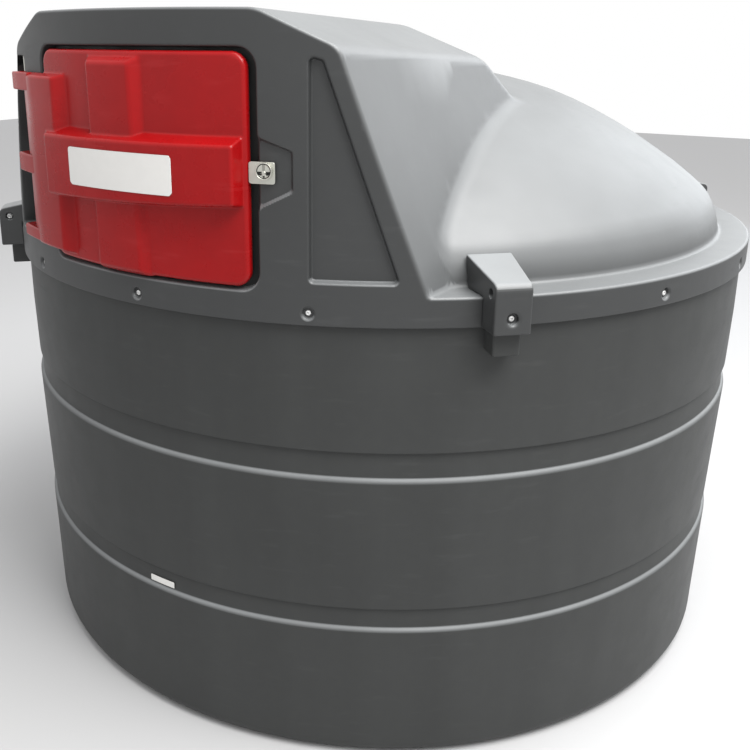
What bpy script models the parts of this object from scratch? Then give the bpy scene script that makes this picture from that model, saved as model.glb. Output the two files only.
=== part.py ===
"""Vertical storage tank with a dispensing cabinet moulded into its lid, as a Blender 4.5 scene.

Metres, +Z up, floor at z = 0, tank axis on the Z axis, cabinet door facing -Y.
An azimuth is counted in degrees from the front (-Y) towards +X.
Heights of the lid are counted from the lower edge of its skirt, LID_Z.
"""

import math
from collections import namedtuple

import bmesh
import bpy
from mathutils import Matrix, Vector

# Driving dimensions
LID_RADIUS = 1.150
LID_Z = 1.186
FACETS = 80
GAP = 0.0003
SKIN = 0.012
FAR = 3.0

# Tank shell: outer profile, radius and height, over its rounded foot
FOOT_RADIUS = 1.118
FOOT_ROUND = 0.041
FOOT_STEPS = 4
FOOT_REST = 0.008
WALL_BANDS = [
    (1.1262, 0.384), (1.1190, 0.393), (1.1190, 0.440), (1.1215, 0.452),
    (1.1330, 0.800), (1.1265, 0.809), (1.1265, 0.860), (1.1300, 0.874),
]
WALL_TOP_RADIUS = 1.1360
WALL_TOP_STRAIGHT = 0.20
WALL_SEGMENTS = 8

# Lid rim and ledge
LEDGE_Z = 0.071
LEDGE_INNER_RADIUS = 1.045
SKIRT_INNER_RADIUS = 1.1385
RIM_CHAMFER = 0.006
FRONT_RIM_CHAMFER = 0.0001
RIM_CUTS = {"front": (-36.2, 36.2), "right": (36.2, 130.0), "rear": (130.0, 230.0), "left": (230.0, 323.8)}

# Lifting lugs over the rim: side outline from the skirt round the nose to the ledge, and the tabs under them
LUG_AZIMUTHS = {"front_right": 44.2, "rear_right": 135.8, "rear_left": -135.8, "front_left": -44.2}
LUG_HALF_WIDTH = 0.043
LUG_FACE_RADIUS = 1.218
LUG_FACE_TOP = 0.094
LUG_NOSE = [(1.213, 0.106), (1.200, 0.1165)]
LUG_BACK = [(1.050, 0.147), (1.0505, 0.129)]
LUG_HEEL_Z = 0.094
LUG_DOME_GAP = 0.001
TAB_HALF_WIDTH = 0.032
TAB_RADIUS = 1.190
TAB_ROOT_RADIUS = 1.126
TAB_FOOT_Z = -0.058
TAB_EDGE = 0.004

# Dome: outer profile, radius and height over the skirt's lower edge, from the crown out
DOME_PROFILE = [
    (0.0, 0.553), (0.270, 0.527), (0.540, 0.463), (0.750, 0.366), (0.880, 0.285),
    (0.968, 0.222), (1.020, 0.178), (1.048, 0.132), (1.060, 0.095), (1.065, LEDGE_Z + GAP),
]
DOME_SKIN = 0.010
DOME_CUT_X = 0.549
DOME_REACH = 2.0

# Cabinet housing: its front outline on the lid's cylinder, and its rear
ROOF_HALF_WIDTH = 0.335
ROOF_CORNER_Y = -1.100
ROOF_Z = 0.680
SHOULDER_HALF_WIDTH = 0.500
SHOULDER_Y = -1.036
SHOULDER_Z = 0.602
SIDE_LEAN = 0.3265
ROOF_FALL = 0.045
BACK_Y = -0.174
REAR_SLOPE_LOW_Z = 0.447
REAR_SLOPE_TOP = (-0.430, 0.648)
HOUSING_FRONT_Y = -1.3
HOUSING_TALL = 0.8
FLOOR_HALF_WIDTH = 0.70

# Fascia and its door opening
FASCIA_INNER_RADIUS = 1.095
OPENING_AZIMUTH = 17.2
OPENING_Z = (0.066, 0.607)
OPENING_CORNER = 0.050
FASCIA_CUT_X = 0.270
FASCIA_REACH = 40.0
RIGHT_RECESS = [(22.4, 0.095), (33.1, 0.095), (24.4, 0.579), (22.4, 0.590)]
RIGHT_RECESS_DEPTH = 0.014
LEFT_RECESS = [(-33.1, 0.095), (-22.6, 0.095), (-22.6, 0.577), (-25.0, 0.577)]
LEFT_RECESS_DEPTH = 0.038
POCKET = [(15.0, 0.240), (17.2, 0.261), (20.8, 0.299), (20.8, 0.387), (17.2, 0.414), (15.0, 0.430)]
POCKET_DEPTH = 0.008
CUTTER_REACH = 0.02
SEAL_RADII = (1.100, 1.120)
SEAL_INSIDE_AZIMUTH = 14.9
SEAL_INSIDE_Z = (0.094, 0.580)
SEAL_INSIDE_CORNER = 0.024

# Door
DOOR_AZIMUTH = 15.9
DOOR_Z = (0.081, 0.592)
DOOR_CORNER = 0.036
DOOR_INNER_RADIUS = 1.127
DOOR_OUTER_RADIUS = 1.155

# Bars raised on the door: azimuths of the foot and of the face, heights, edge bevel, rise
Bar = namedtuple("Bar", "base top z_range bevel rise")
RIB = Bar((-6.2, 3.9), (-4.6, 2.3), (0.083, 0.575), 0.010, 0.020)
HINGE_BAR = Bar((-21.9, -9.6), (-17.6, -10.6), (0.098, 0.534), 0.006, 0.026)
HANDLE = Bar((-14.6, 15.5), (-13.0, 15.0), (0.252, 0.416), 0.008, 0.040)
BAR_EDGE_RISE = 0.004
SEAT_MARGIN = 0.03
SEAT_DEPTH = 0.02
PLATE_HALF_WIDTH = 7.8
PLATE_Z = (0.283, 0.374)
PLATE_CORNER = 0.010
PLATE_THICKNESS = 0.0015

# Hinge and lock
HINGE_AZIMUTH = -23.8
HINGE_RADIUS = 1.138
ROD_RADIUS = 0.007
KNUCKLE_RADIUS = 0.016
KNUCKLE_BORE = 0.0077
KNUCKLE_Z = [(0.489, 0.534), (0.280, 0.328), (0.100, 0.136)]
KNUCKLE_ARM = [(0.064, 0.0178), (0.064, 0.0290), (0.040, 0.0310)]
KNUCKLE_ROOT = (0.0165, 0.0178)
KNUCKLE_SWEEP = (100, 401, 25)
ROD_SIDES = 12
BORE_HEIGHT = 0.7
LOCK_AZIMUTH = 17.8
LOCK_Z = 0.344
LOCK_RADIUS = 0.019
LOCK_THICKNESS = 0.009
LOCK_SIDES = 20
HASP_AZIMUTHS = (DOOR_AZIMUTH + 0.02, 18.9)
HASP_Z = (0.315, 0.360)
HASP_RADII = (LID_RADIUS - 0.0025, LID_RADIUS + 0.0005)

STEP = 360.0 / FACETS


def clear_scene():
    for old in list(bpy.data.objects):
        bpy.data.objects.remove(old, do_unlink=True)


def material(name, colour, roughness, metallic=0.0):
    made = bpy.data.materials.new(name)
    made.use_nodes = True
    shader = made.node_tree.nodes["Principled BSDF"]
    shader.inputs["Base Color"].default_value = (*colour, 1.0)
    shader.inputs["Roughness"].default_value = roughness
    shader.inputs["Metallic"].default_value = metallic
    made.diffuse_color = (*colour, 1.0)
    return made


def add_object(name, mesh_data, finish, origin=(0.0, 0.0, 0.0)):
    """Puts a bmesh into the scene under this name, with its origin moved to the point given."""
    mesh = bpy.data.meshes.new(name)
    bmesh.ops.translate(mesh_data, vec=-Vector(origin), verts=mesh_data.verts)
    bmesh.ops.recalc_face_normals(mesh_data, faces=mesh_data.faces)
    mesh_data.to_mesh(mesh)
    mesh_data.free()
    made = bpy.data.objects.new(name, mesh)
    made.location = origin
    if finish is None:
        made.hide_render = True
        made.display_type = "WIRE"
    else:
        mesh.materials.append(finish)
    bpy.context.scene.collection.objects.link(made)
    return made


def boolean(target, operation, other):
    step = target.modifiers.new(f"{operation.lower()} {other.name}", "BOOLEAN")
    step.operation = operation
    step.object = other
    step.solver = "EXACT"


def shade_smooth(made, angle=32.0):
    made.data.shade_smooth()
    made.data.set_sharp_from_angle(angle=math.radians(angle))


def round_point(radius, azimuth, z):
    """A point on the faceted round of this radius: between two facet edges it lies on the flat facet."""
    middle = (math.floor(azimuth / STEP + 1e-9) + 0.5) * STEP
    flat = radius * math.cos(math.radians(STEP / 2)) / math.cos(math.radians(azimuth - middle))
    turn = math.radians(azimuth)
    return Vector((flat * math.sin(turn), -flat * math.cos(turn), z))


def stations(start, end, extra=()):
    """The azimuths from start to end at which a round piece has an edge."""
    first = math.floor(start / STEP) + 1
    inner = [k * STEP for k in range(first, math.ceil(end / STEP))]
    kept = {round(a, 6) for a in inner if start + 0.05 < a < end - 0.05}
    kept |= {round(a, 6) for a in extra if start < a < end}
    return [start, *sorted(kept), end]


def loft(azimuths, section):
    """A closed solid along the azimuths. section gives the same ring of (radius, z) at each of them."""
    made = bmesh.new()
    rings = [[made.verts.new(round_point(r, a, z)) for r, z in section(a)] for a in azimuths]
    for low, high in zip(rings, rings[1:]):
        for i in range(len(low)):
            k = (i + 1) % len(low)
            made.faces.new((low[i], low[k], high[k], high[i]))
    made.faces.new(rings[0])
    made.faces.new(rings[-1])
    return made


def turned(profile):
    """A closed solid of revolution. The profile runs from the axis out and back to the axis."""
    made = bmesh.new()
    rings = []
    for r, z in profile:
        if r == 0.0:
            rings.append([made.verts.new((0.0, 0.0, z))] * FACETS)
        else:
            rings.append([made.verts.new(round_point(r, k * STEP, z)) for k in range(FACETS)])
    for low, high in zip(rings, rings[1:]):
        for k in range(FACETS):
            n = (k + 1) % FACETS
            corners = list(dict.fromkeys((low[k], low[n], high[n], high[k])))
            made.faces.new(corners)
    return made


def convex(planes):
    """The convex solid inside all planes, each given as an outward normal and a distance from the origin."""
    made = bmesh.new()
    bmesh.ops.create_cube(made, size=2 * FAR)
    for normal, distance in planes:
        everything = made.verts[:] + made.edges[:] + made.faces[:]
        cut = bmesh.ops.bisect_plane(
            made, geom=everything, dist=1e-7, plane_co=normal * distance, plane_no=normal, clear_outer=True)
        rim = [e for e in cut["geom_cut"] if isinstance(e, bmesh.types.BMEdge)]
        if rim:
            bmesh.ops.edgeloop_fill(made, edges=rim)
    return made


def plane(normal, point):
    unit = Vector(normal).normalized()
    return unit, unit.dot(Vector(point))


def box(low, high):
    centre = (Vector(low) + Vector(high)) / 2
    size = Vector(high) - Vector(low)
    made = bmesh.new()
    place = Matrix.Translation(centre) @ Matrix.Diagonal((*size, 1.0))
    bmesh.ops.create_cube(made, size=1.0, matrix=place)
    return made


def prism(outline, axis_x, axis_y, origin, depth):
    """Extrudes a flat outline, given along two axes from an origin, by the vector depth."""
    made = bmesh.new()
    near = [made.verts.new(origin + axis_x * x + axis_y * y) for x, y in outline]
    far = [made.verts.new(v.co + depth) for v in near]
    made.faces.new(near)
    made.faces.new(far)
    for i in range(len(near)):
        k = (i + 1) % len(near)
        made.faces.new((near[i], near[k], far[k], far[i]))
    return made


def upright(ring, centre, low, high):
    """An upright prism over a flat ring, round a vertical axis through the centre."""
    foot = Vector((centre.x, centre.y, low))
    return prism(ring, Vector((1, 0, 0)), Vector((0, 1, 0)), foot, Vector((0, 0, high - low)))


def circle(radius, sides):
    turns = [2 * math.pi * k / sides for k in range(sides)]
    return [(radius * math.cos(turn), radius * math.sin(turn)) for turn in turns]


def radial(azimuth):
    turn = math.radians(azimuth)
    return Vector((math.sin(turn), -math.cos(turn), 0.0))


def tangent(azimuth):
    turn = math.radians(azimuth)
    return Vector((math.cos(turn), math.sin(turn), 0.0))


def rounded_limits(half_width, low, high, corner, steps=3):
    """Extra stations, and low and high z at an azimuth, of an upright rounded rectangle on the round."""
    def limits(azimuth):
        inward = math.radians(half_width - abs(azimuth)) * LID_RADIUS
        if inward >= corner:
            return low, high
        rise = corner - math.sqrt(max(corner ** 2 - (corner - max(inward, 0.0)) ** 2, 0.0))
        return low + rise, high - rise

    turns = [math.radians(90.0 * k / steps) for k in range(1, steps + 1)]
    shifts = [math.degrees(corner * (1 - math.cos(t)) / LID_RADIUS) for t in turns]
    extra = [side * (half_width - s) for s in shifts for side in (-1, 1)]
    return extra, limits


def rounded_plate(half_width, z_range, corner, inner, outer):
    """A round plate, from radius inner to outer, with a rounded rectangle as its outline."""
    extra, limits = rounded_limits(half_width, *z_range, corner)

    def section(azimuth):
        low, high = (LID_Z + z for z in limits(azimuth))
        return [(inner, low), (outer, low), (outer, high), (inner, high)]

    return loft(stations(-half_width, half_width, extra), section)


def outlined_plate(corners, inner, outer):
    """A round plate whose outline is a convex polygon of (azimuth, z), between two radii."""
    azimuths = sorted({a for a, _ in corners})

    def section(azimuth):
        crossings = []
        for (a0, z0), (a1, z1) in zip(corners, corners[1:] + corners[:1]):
            if min(a0, a1) <= azimuth <= max(a0, a1) and a0 != a1:
                crossings.append(z0 + (z1 - z0) * (azimuth - a0) / (a1 - a0))
            elif a0 == a1 == azimuth:
                crossings += [z0, z1]
        low, high = LID_Z + min(crossings), LID_Z + max(crossings)
        return [(inner, low), (outer, low), (outer, high), (inner, high)]

    return loft(stations(azimuths[0], azimuths[-1], azimuths), section)


def raised_bar(bar, wider=0.0, prouder=0.0):
    """A bar raised on the door, made wider on both sides and prouder where the size of a seat is wanted."""
    inner = DOOR_OUTER_RADIUS + GAP
    base = bar.base[0] - wider, bar.base[1] + wider
    top = bar.top[0] - wider, bar.top[1] + wider
    edge_rise, full_rise = BAR_EDGE_RISE + prouder, bar.rise + prouder

    def section(azimuth):
        ramp = 1.0
        if azimuth < top[0]:
            ramp = (azimuth - base[0]) / (top[0] - base[0])
        elif azimuth > top[1]:
            ramp = (base[1] - azimuth) / (base[1] - top[1])
        outer = inner + edge_rise + (full_rise - edge_rise) * ramp
        edge = bar.bevel * (0.2 + 0.8 * ramp)
        low, high = LID_Z + bar.z_range[0], LID_Z + bar.z_range[1]
        return [(inner, low), (outer, low + edge), (outer, high - edge), (inner, high)]

    return loft(stations(*base, top), section)


def bar_seat(name, bar, axis_point):
    """A cutter that leaves room for a bar where the handle crosses it."""
    seat = raised_bar(bar, SEAT_MARGIN, GAP)
    for corner in seat.verts:
        if corner.co.xy.length < DOOR_OUTER_RADIUS + 2 * GAP:
            corner.co.xy *= 1 - SEAT_DEPTH / corner.co.xy.length
    return add_object(name, seat, None, axis_point)


def build_tank(shell):
    """The tank's floor and its wall in upright segments, with the guide tabs under the lugs."""
    inner_foot = FOOT_RADIUS - FOOT_ROUND - FOOT_REST
    floor = turned([(0.0, 0.0), (inner_foot - GAP, 0.0), (inner_foot - GAP, SKIN), (0.0, SKIN)])
    add_object("tank_floor", floor, shell)

    top = LID_Z + LEDGE_Z - SKIN - GAP
    turns = [math.pi / 2 * k / FOOT_STEPS for k in range(FOOT_STEPS + 1)]
    foot = [(FOOT_RADIUS - FOOT_ROUND * (1 - math.sin(t)), FOOT_ROUND * (1 - math.cos(t))) for t in turns]
    outer = [*foot, *WALL_BANDS, (WALL_TOP_RADIUS, top - WALL_TOP_STRAIGHT), (WALL_TOP_RADIUS, top)]
    inner = [
        (WALL_TOP_RADIUS - SKIN, top), (WALL_BANDS[5][0] - SKIN, WALL_BANDS[6][1]),
        (WALL_BANDS[1][0] - SKIN, WALL_BANDS[2][1]), (FOOT_RADIUS - SKIN, FOOT_ROUND + SKIN),
        (inner_foot, 0.0),
    ]
    ring = outer + inner
    span = 360.0 / WALL_SEGMENTS
    trim = math.degrees(GAP / 2 / LID_RADIUS)
    for k in range(WALL_SEGMENTS):
        middle = k * span
        along = stations(middle - span / 2 + trim, middle + span / 2 - trim)
        segment = add_object(f"tank_wall_{k + 1}", loft(along, lambda _: ring), shell)
        shade_smooth(segment)
        for azimuth in LUG_AZIMUTHS.values():
            if abs(azimuth % 360.0 - middle) < span / 2:
                boolean(segment, "UNION", guide_tab(azimuth))


def guide_tab(azimuth):
    """The tab on the wall that the lug above it rests on."""
    low, high = LID_Z + TAB_FOOT_Z, LID_Z - GAP
    outline = [
        (TAB_ROOT_RADIUS, low), (TAB_RADIUS - TAB_EDGE, low), (TAB_RADIUS, low + TAB_EDGE),
        (TAB_RADIUS, high), (TAB_ROOT_RADIUS, high),
    ]
    side = tangent(azimuth) * TAB_HALF_WIDTH
    made = prism(outline, radial(azimuth), Vector((0, 0, 1)), -side, 2 * side)
    return add_object(f"tab_{azimuth:.0f}", made, None)


def build_rim(shell):
    """The lid's skirt and the flat ledge inside it, in four lengths."""
    low, under, top = LID_Z, LID_Z + LEDGE_Z - SKIN, LID_Z + LEDGE_Z
    trim = math.degrees(GAP / 2 / LID_RADIUS)
    for side, (start, end) in RIM_CUTS.items():
        chamfer = FRONT_RIM_CHAMFER if side == "front" else RIM_CHAMFER
        ring = [
            (SKIRT_INNER_RADIUS, low), (LID_RADIUS, low), (LID_RADIUS, top - chamfer),
            (LID_RADIUS - chamfer, top), (LEDGE_INNER_RADIUS, top), (LEDGE_INNER_RADIUS, under),
            (SKIRT_INNER_RADIUS, under),
        ]
        made = loft(stations(start + trim, end - trim), lambda _, ring=ring: ring)
        shade_smooth(add_object(f"lid_rim_{side}", made, shell))


def housing_planes(grow=0.0):
    """The outer planes of the cabinet housing, by name, moved out by grow."""
    front = Vector((0.0, 1.0, -ROOF_FALL))
    roof_corner = Vector((ROOF_HALF_WIDTH, ROOF_CORNER_Y, LID_Z + ROOF_Z))
    shoulder = Vector((SHOULDER_HALF_WIDTH, SHOULDER_Y, LID_Z + SHOULDER_Z))
    bevel = (shoulder - roof_corner).cross(front)
    slope_low = Vector((0.0, BACK_Y, LID_Z + REAR_SLOPE_LOW_Z))
    slope_top = Vector((0.0, REAR_SLOPE_TOP[0], LID_Z + REAR_SLOPE_TOP[1]))
    slope = Vector((1.0, 0.0, 0.0)).cross(slope_low - slope_top)
    if bevel.z < 0:
        bevel = -bevel
    if slope.z < 0:
        slope = -slope
    mirror = Vector((-1.0, 1.0, 1.0))
    found = {
        "roof": plane((0.0, ROOF_FALL, 1.0), roof_corner),
        "bevel_right": plane(bevel, shoulder),
        "bevel_left": plane(bevel * mirror, shoulder * mirror),
        "side_right": plane((1.0, 0.0, SIDE_LEAN), shoulder),
        "side_left": plane((-1.0, 0.0, SIDE_LEAN), shoulder * mirror),
        "rear_slope": plane(slope, slope_low),
        "back": plane((0.0, 1.0, 0.0), slope_low),
    }
    return {name: (normal, distance + grow) for name, (normal, distance) in found.items()}


def disc(radius, height):
    """A round solid on the tank's axis, from the skirt's lower edge up."""
    return turned([(0.0, LID_Z), (radius, LID_Z), (radius, LID_Z + height), (0.0, LID_Z + height)])


def housing_ends(low):
    """The housing's front, well outside the lid, and its foot at height low."""
    return [plane((0.0, -1.0, 0.0), (0.0, HOUSING_FRONT_Y, 0.0)), plane((0.0, 0.0, -1.0), (0.0, 0.0, low))]


def build_housing(shell):
    """The cabinet's roof, bevels, sides, rear slope and back as plates mitred along their joints."""
    planes = housing_planes()
    low = LID_Z + LEDGE_Z + GAP
    core = add_object("fascia_inside", disc(FASCIA_INNER_RADIUS - GAP, HOUSING_TALL), None)
    names = {
        "roof": "cabinet_roof", "bevel_right": "cabinet_bevel_right", "bevel_left": "cabinet_bevel_left",
        "side_right": "cabinet_side_right", "side_left": "cabinet_side_left",
        "rear_slope": "cabinet_rear_slope", "back": "cabinet_back",
    }
    for key, name in names.items():
        normal, distance = planes[key]
        sides = [(normal, distance), (-normal, SKIN - distance), *housing_ends(low)]
        for other, (n, d) in planes.items():
            if other != key:
                apart = n - normal
                sides.append((apart.normalized(), (d - distance - GAP * 0.6) / apart.length))
        panel = add_object(name, convex(sides), shell)
        if key not in ("back", "rear_slope"):
            boolean(panel, "INTERSECT", core)

    plate = box((-FLOOR_HALF_WIDTH, HOUSING_FRONT_Y, LID_Z + LEDGE_Z - SKIN),
                (FLOOR_HALF_WIDTH, BACK_Y + SKIN, LID_Z + LEDGE_Z))
    floor = add_object("cabinet_floor", plate, shell)
    boolean(floor, "INTERSECT", add_object("ledge_inside", disc(LEDGE_INNER_RADIUS - GAP, 2 * LEDGE_Z), None))


def build_dome(shell):
    """The lid's dome as a shell in four pieces, open where the cabinet stands."""
    outer = [(r, LID_Z + z) for r, z in DOME_PROFILE]
    inner = []
    for (r0, z0), (r1, z1) in zip(DOME_PROFILE[1:], DOME_PROFILE[2:]):
        along = Vector((r1 - r0, z1 - z0)).normalized()
        middle = Vector(((r0 + r1) / 2, (z0 + z1) / 2))
        inner.append((middle.x + along.y * DOME_SKIN, LID_Z + middle.y - along.x * DOME_SKIN))
    foot = [(DOME_PROFILE[-1][0] - DOME_SKIN, outer[-1][1])]
    crown = [(0.0, outer[0][1] - DOME_SKIN)]
    profile = outer + foot + inner[::-1][1:] + crown

    cutter = convex([*housing_planes(GAP).values(), *housing_ends(LID_Z)])
    housing = add_object("housing_cutter", cutter, None)
    far, side = DOME_REACH, DOME_CUT_X
    regions = {
        "left": ((-far, -far, 0.0), (-side, BACK_Y, far)),
        "right": ((side, -far, 0.0), (far, BACK_Y, far)),
    }
    halves = {
        "left": ((-far, -far, 0.0), (-GAP / 2, far, far)),
        "right": ((GAP / 2, -far, 0.0), (far, far, far)),
    }
    for hand, (low, high) in regions.items():
        front = add_object(f"dome_front_{hand}", turned(profile), shell)
        boolean(front, "INTERSECT", add_object(f"front_region_{hand}", box(low, high), None))
        boolean(front, "DIFFERENCE", housing)
        rear = add_object(f"dome_rear_{hand}", turned(profile), shell)
        boolean(rear, "INTERSECT", add_object(f"rear_region_{hand}", box(*halves[hand]), None))
        wider = Vector((GAP, GAP, GAP))
        taken = add_object(f"rear_cut_{hand}", box(Vector(low) - wider, Vector(high) + wider), None)
        boolean(rear, "DIFFERENCE", taken)
        boolean(rear, "DIFFERENCE", housing)
        shade_smooth(front)
        shade_smooth(rear)


def build_fascia(shell):
    """The cabinet's round front in three pieces round the door, with its recesses."""
    planes = housing_planes()
    low = LID_Z + LEDGE_Z + GAP
    body = add_object("housing_body", convex([*planes.values(), *housing_ends(low)]), None)
    proud = LID_RADIUS + CUTTER_REACH
    hole = rounded_plate(
        OPENING_AZIMUTH, OPENING_Z, OPENING_CORNER, FASCIA_INNER_RADIUS - CUTTER_REACH, proud)
    opening = add_object("door_opening", hole, None)
    cutters = {}
    for name, outline, depth in (("right_recess", RIGHT_RECESS, RIGHT_RECESS_DEPTH),
                                 ("hinge_recess", LEFT_RECESS, LEFT_RECESS_DEPTH),
                                 ("lock_pocket", POCKET, POCKET_DEPTH)):
        cutters[name] = add_object(name, outlined_plate(outline, LID_RADIUS - depth, proud), None)

    edge = GAP / 2
    regions = {
        "fascia_left": ((-FAR, -FAR, 0.0), (-FASCIA_CUT_X - edge, 0.0, FAR), ["hinge_recess"]),
        "fascia_right": ((FASCIA_CUT_X + edge, -FAR, 0.0), (FAR, 0.0, FAR), ["right_recess", "lock_pocket"]),
        "fascia_top": ((-FASCIA_CUT_X + edge, -FAR, 0.0), (FASCIA_CUT_X - edge, 0.0, FAR), []),
    }
    high = low + HOUSING_TALL
    ring = [(FASCIA_INNER_RADIUS, low), (LID_RADIUS, low), (LID_RADIUS, high), (FASCIA_INNER_RADIUS, high)]
    for name, (corner, far_corner, cuts) in regions.items():
        piece = add_object(name, loft(stations(-FASCIA_REACH, FASCIA_REACH), lambda _: ring), shell)
        boolean(piece, "INTERSECT", body)
        boolean(piece, "INTERSECT", add_object(f"{name}_region", box(corner, far_corner), None))
        boolean(piece, "DIFFERENCE", opening)
        for cut in cuts:
            boolean(piece, "DIFFERENCE", cutters[cut])
        shade_smooth(piece)


def build_seal(rubber):
    """The seal in the door opening, a frame in front of which the door closes."""
    trim = math.degrees(GAP / LID_RADIUS) * 1.4
    outline = (LEDGE_Z + GAP, OPENING_Z[1] - GAP)
    inner, outer = SEAL_RADII
    seal = add_object("door_seal", rounded_plate(
        OPENING_AZIMUTH - trim, outline, OPENING_CORNER, inner, outer), rubber)
    inside = rounded_plate(
        SEAL_INSIDE_AZIMUTH, SEAL_INSIDE_Z, SEAL_INSIDE_CORNER, inner - CUTTER_REACH, outer + CUTTER_REACH)
    boolean(seal, "DIFFERENCE", add_object("seal_inside", inside, None))


def build_lugs(shell):
    """The four lifting lugs that hook over the rim from the dome to the outside of the skirt."""
    skirt, back = LID_RADIUS + GAP, DOME_PROFILE[-1][0] + LUG_DOME_GAP
    ledge = LEDGE_Z + GAP
    outline = [
        (skirt, 0.0), (LUG_FACE_RADIUS, 0.0), (LUG_FACE_RADIUS, LUG_FACE_TOP), *LUG_NOSE, *LUG_BACK,
        (back, LUG_HEEL_Z), (back, ledge), (skirt, ledge),
    ]
    for name, azimuth in LUG_AZIMUTHS.items():
        side = tangent(azimuth) * LUG_HALF_WIDTH
        made = prism(outline, radial(azimuth), Vector((0, 0, 1)), Vector((0, 0, LID_Z)) - side, 2 * side)
        add_object(f"lug_{name}", made, shell)


def knuckle(low, high, axis_point):
    """One knuckle: an arm from the hinge bar that ends round the rod."""
    turns = [math.radians(angle) for angle in range(*KNUCKLE_SWEEP)]
    around = [(KNUCKLE_RADIUS * math.cos(turn), KNUCKLE_RADIUS * math.sin(turn)) for turn in turns]
    outline = [*KNUCKLE_ARM, *around, KNUCKLE_ROOT]
    base = axis_point + Vector((0, 0, LID_Z + low))
    up = Vector((0, 0, high - low))
    return prism(outline, tangent(HINGE_AZIMUTH), radial(HINGE_AZIMUTH), base, up)


def build_door(red, steel, plate_white, axis_point):
    """The door: its panel, raised bars, name plate and lock, all hung on the hinge's axis."""
    panel = rounded_plate(DOOR_AZIMUTH, DOOR_Z, DOOR_CORNER, DOOR_INNER_RADIUS, DOOR_OUTER_RADIUS)
    shade_smooth(add_object("door_panel", panel, red, axis_point))

    rib = add_object("door_rib", raised_bar(RIB), red, axis_point)
    bar = add_object("door_hinge_bar", raised_bar(HINGE_BAR), red, axis_point)
    for k, (low, high) in enumerate(KNUCKLE_Z):
        made = knuckle(low, high, axis_point)
        boolean(bar, "UNION", add_object(f"knuckle_{k + 1}", made, None, axis_point))
    hole = upright(circle(KNUCKLE_BORE, ROD_SIDES), axis_point, LID_Z, LID_Z + BORE_HEIGHT)
    boolean(bar, "DIFFERENCE", add_object("hinge_bore", hole, None, axis_point))

    handle = add_object("door_handle", raised_bar(HANDLE), red, axis_point)
    boolean(handle, "DIFFERENCE", bar_seat("rib_seat", RIB, axis_point))
    boolean(handle, "DIFFERENCE", bar_seat("hinge_bar_seat", HINGE_BAR, axis_point))
    for raised in (rib, bar, handle):
        shade_smooth(raised)

    face = DOOR_OUTER_RADIUS + HANDLE.rise + 2 * GAP
    label = rounded_plate(PLATE_HALF_WIDTH, PLATE_Z, PLATE_CORNER, face, face + PLATE_THICKNESS)
    add_object("name_plate", label, plate_white, axis_point)

    corners = [(azimuth, z) for azimuth, z in zip(
        (*HASP_AZIMUTHS, *reversed(HASP_AZIMUTHS)), (HASP_Z[0], HASP_Z[0], HASP_Z[1], HASP_Z[1]))]
    add_object("lock_hasp", outlined_plate(corners, *HASP_RADII), steel, axis_point)


def build_lock_knob(steel):
    """The round lock on the hasp, turning about its own axis."""
    out = radial(LOCK_AZIMUTH)
    centre = out * (HASP_RADII[1] + GAP) + Vector((0, 0, LID_Z + LOCK_Z))
    ring = circle(LOCK_RADIUS, LOCK_SIDES)
    made = prism(ring, tangent(LOCK_AZIMUTH), Vector((0, 0, 1)), centre, out * LOCK_THICKNESS)
    add_object("lock_knob", made, steel, centre)


def build_hinge_rod(steel, axis_point):
    """The rod in the hinge recess that carries the door's knuckles."""
    low, high = LID_Z + LEFT_RECESS[0][1] + GAP, LID_Z + LEFT_RECESS[2][1] - GAP
    made = upright(circle(ROD_RADIUS, ROD_SIDES), axis_point, low, high)
    shade_smooth(add_object("hinge_rod", made, steel))


def main():
    clear_scene()
    shell = material("grey polyethylene", (0.085, 0.088, 0.088), 0.45)
    red = material("red polyethylene", (0.42, 0.022, 0.022), 0.32)
    rubber = material("black rubber", (0.012, 0.013, 0.013), 0.7)
    steel = material("zinc plated steel", (0.55, 0.55, 0.52), 0.3, 1.0)
    plate_white = material("white plate", (0.78, 0.76, 0.73), 0.4)
    axis_point = radial(HINGE_AZIMUTH) * HINGE_RADIUS

    build_tank(shell)
    build_rim(shell)
    build_dome(shell)
    build_housing(shell)
    build_fascia(shell)
    build_seal(rubber)
    build_lugs(shell)
    build_hinge_rod(steel, axis_point)
    build_door(red, steel, plate_white, axis_point)
    build_lock_knob(steel)


main()
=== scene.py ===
"""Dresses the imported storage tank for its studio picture: moulded pieces, finishes, light and camera.

Metres, +Z up, the cabinet door facing -Y. An azimuth is counted in degrees from the front towards +X.
Heights of the lid are counted from the lower edge of its skirt, LID_Z.
"""

import itertools
import logging
import math
from dataclasses import dataclass
from enum import Enum
from typing import Callable, Sequence

import bpy
import numpy as np
from mathutils import Matrix, Vector, geometry


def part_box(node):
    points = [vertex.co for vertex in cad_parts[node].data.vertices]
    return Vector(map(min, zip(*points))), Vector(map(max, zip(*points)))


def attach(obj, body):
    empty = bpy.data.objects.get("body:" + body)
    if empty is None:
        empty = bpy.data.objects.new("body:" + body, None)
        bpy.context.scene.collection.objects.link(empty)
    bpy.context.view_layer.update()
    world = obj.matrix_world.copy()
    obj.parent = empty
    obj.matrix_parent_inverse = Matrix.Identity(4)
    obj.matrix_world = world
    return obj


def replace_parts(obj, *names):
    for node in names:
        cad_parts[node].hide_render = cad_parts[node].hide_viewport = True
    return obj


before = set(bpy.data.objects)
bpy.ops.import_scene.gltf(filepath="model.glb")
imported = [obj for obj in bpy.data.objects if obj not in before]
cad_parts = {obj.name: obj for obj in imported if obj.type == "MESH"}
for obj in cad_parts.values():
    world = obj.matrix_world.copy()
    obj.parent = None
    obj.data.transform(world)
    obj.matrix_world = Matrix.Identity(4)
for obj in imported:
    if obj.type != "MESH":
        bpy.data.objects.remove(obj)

LOG = logging.getLogger("tank_scene")
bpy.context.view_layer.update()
LID_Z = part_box("lid_rim_front")[0][2]
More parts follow.
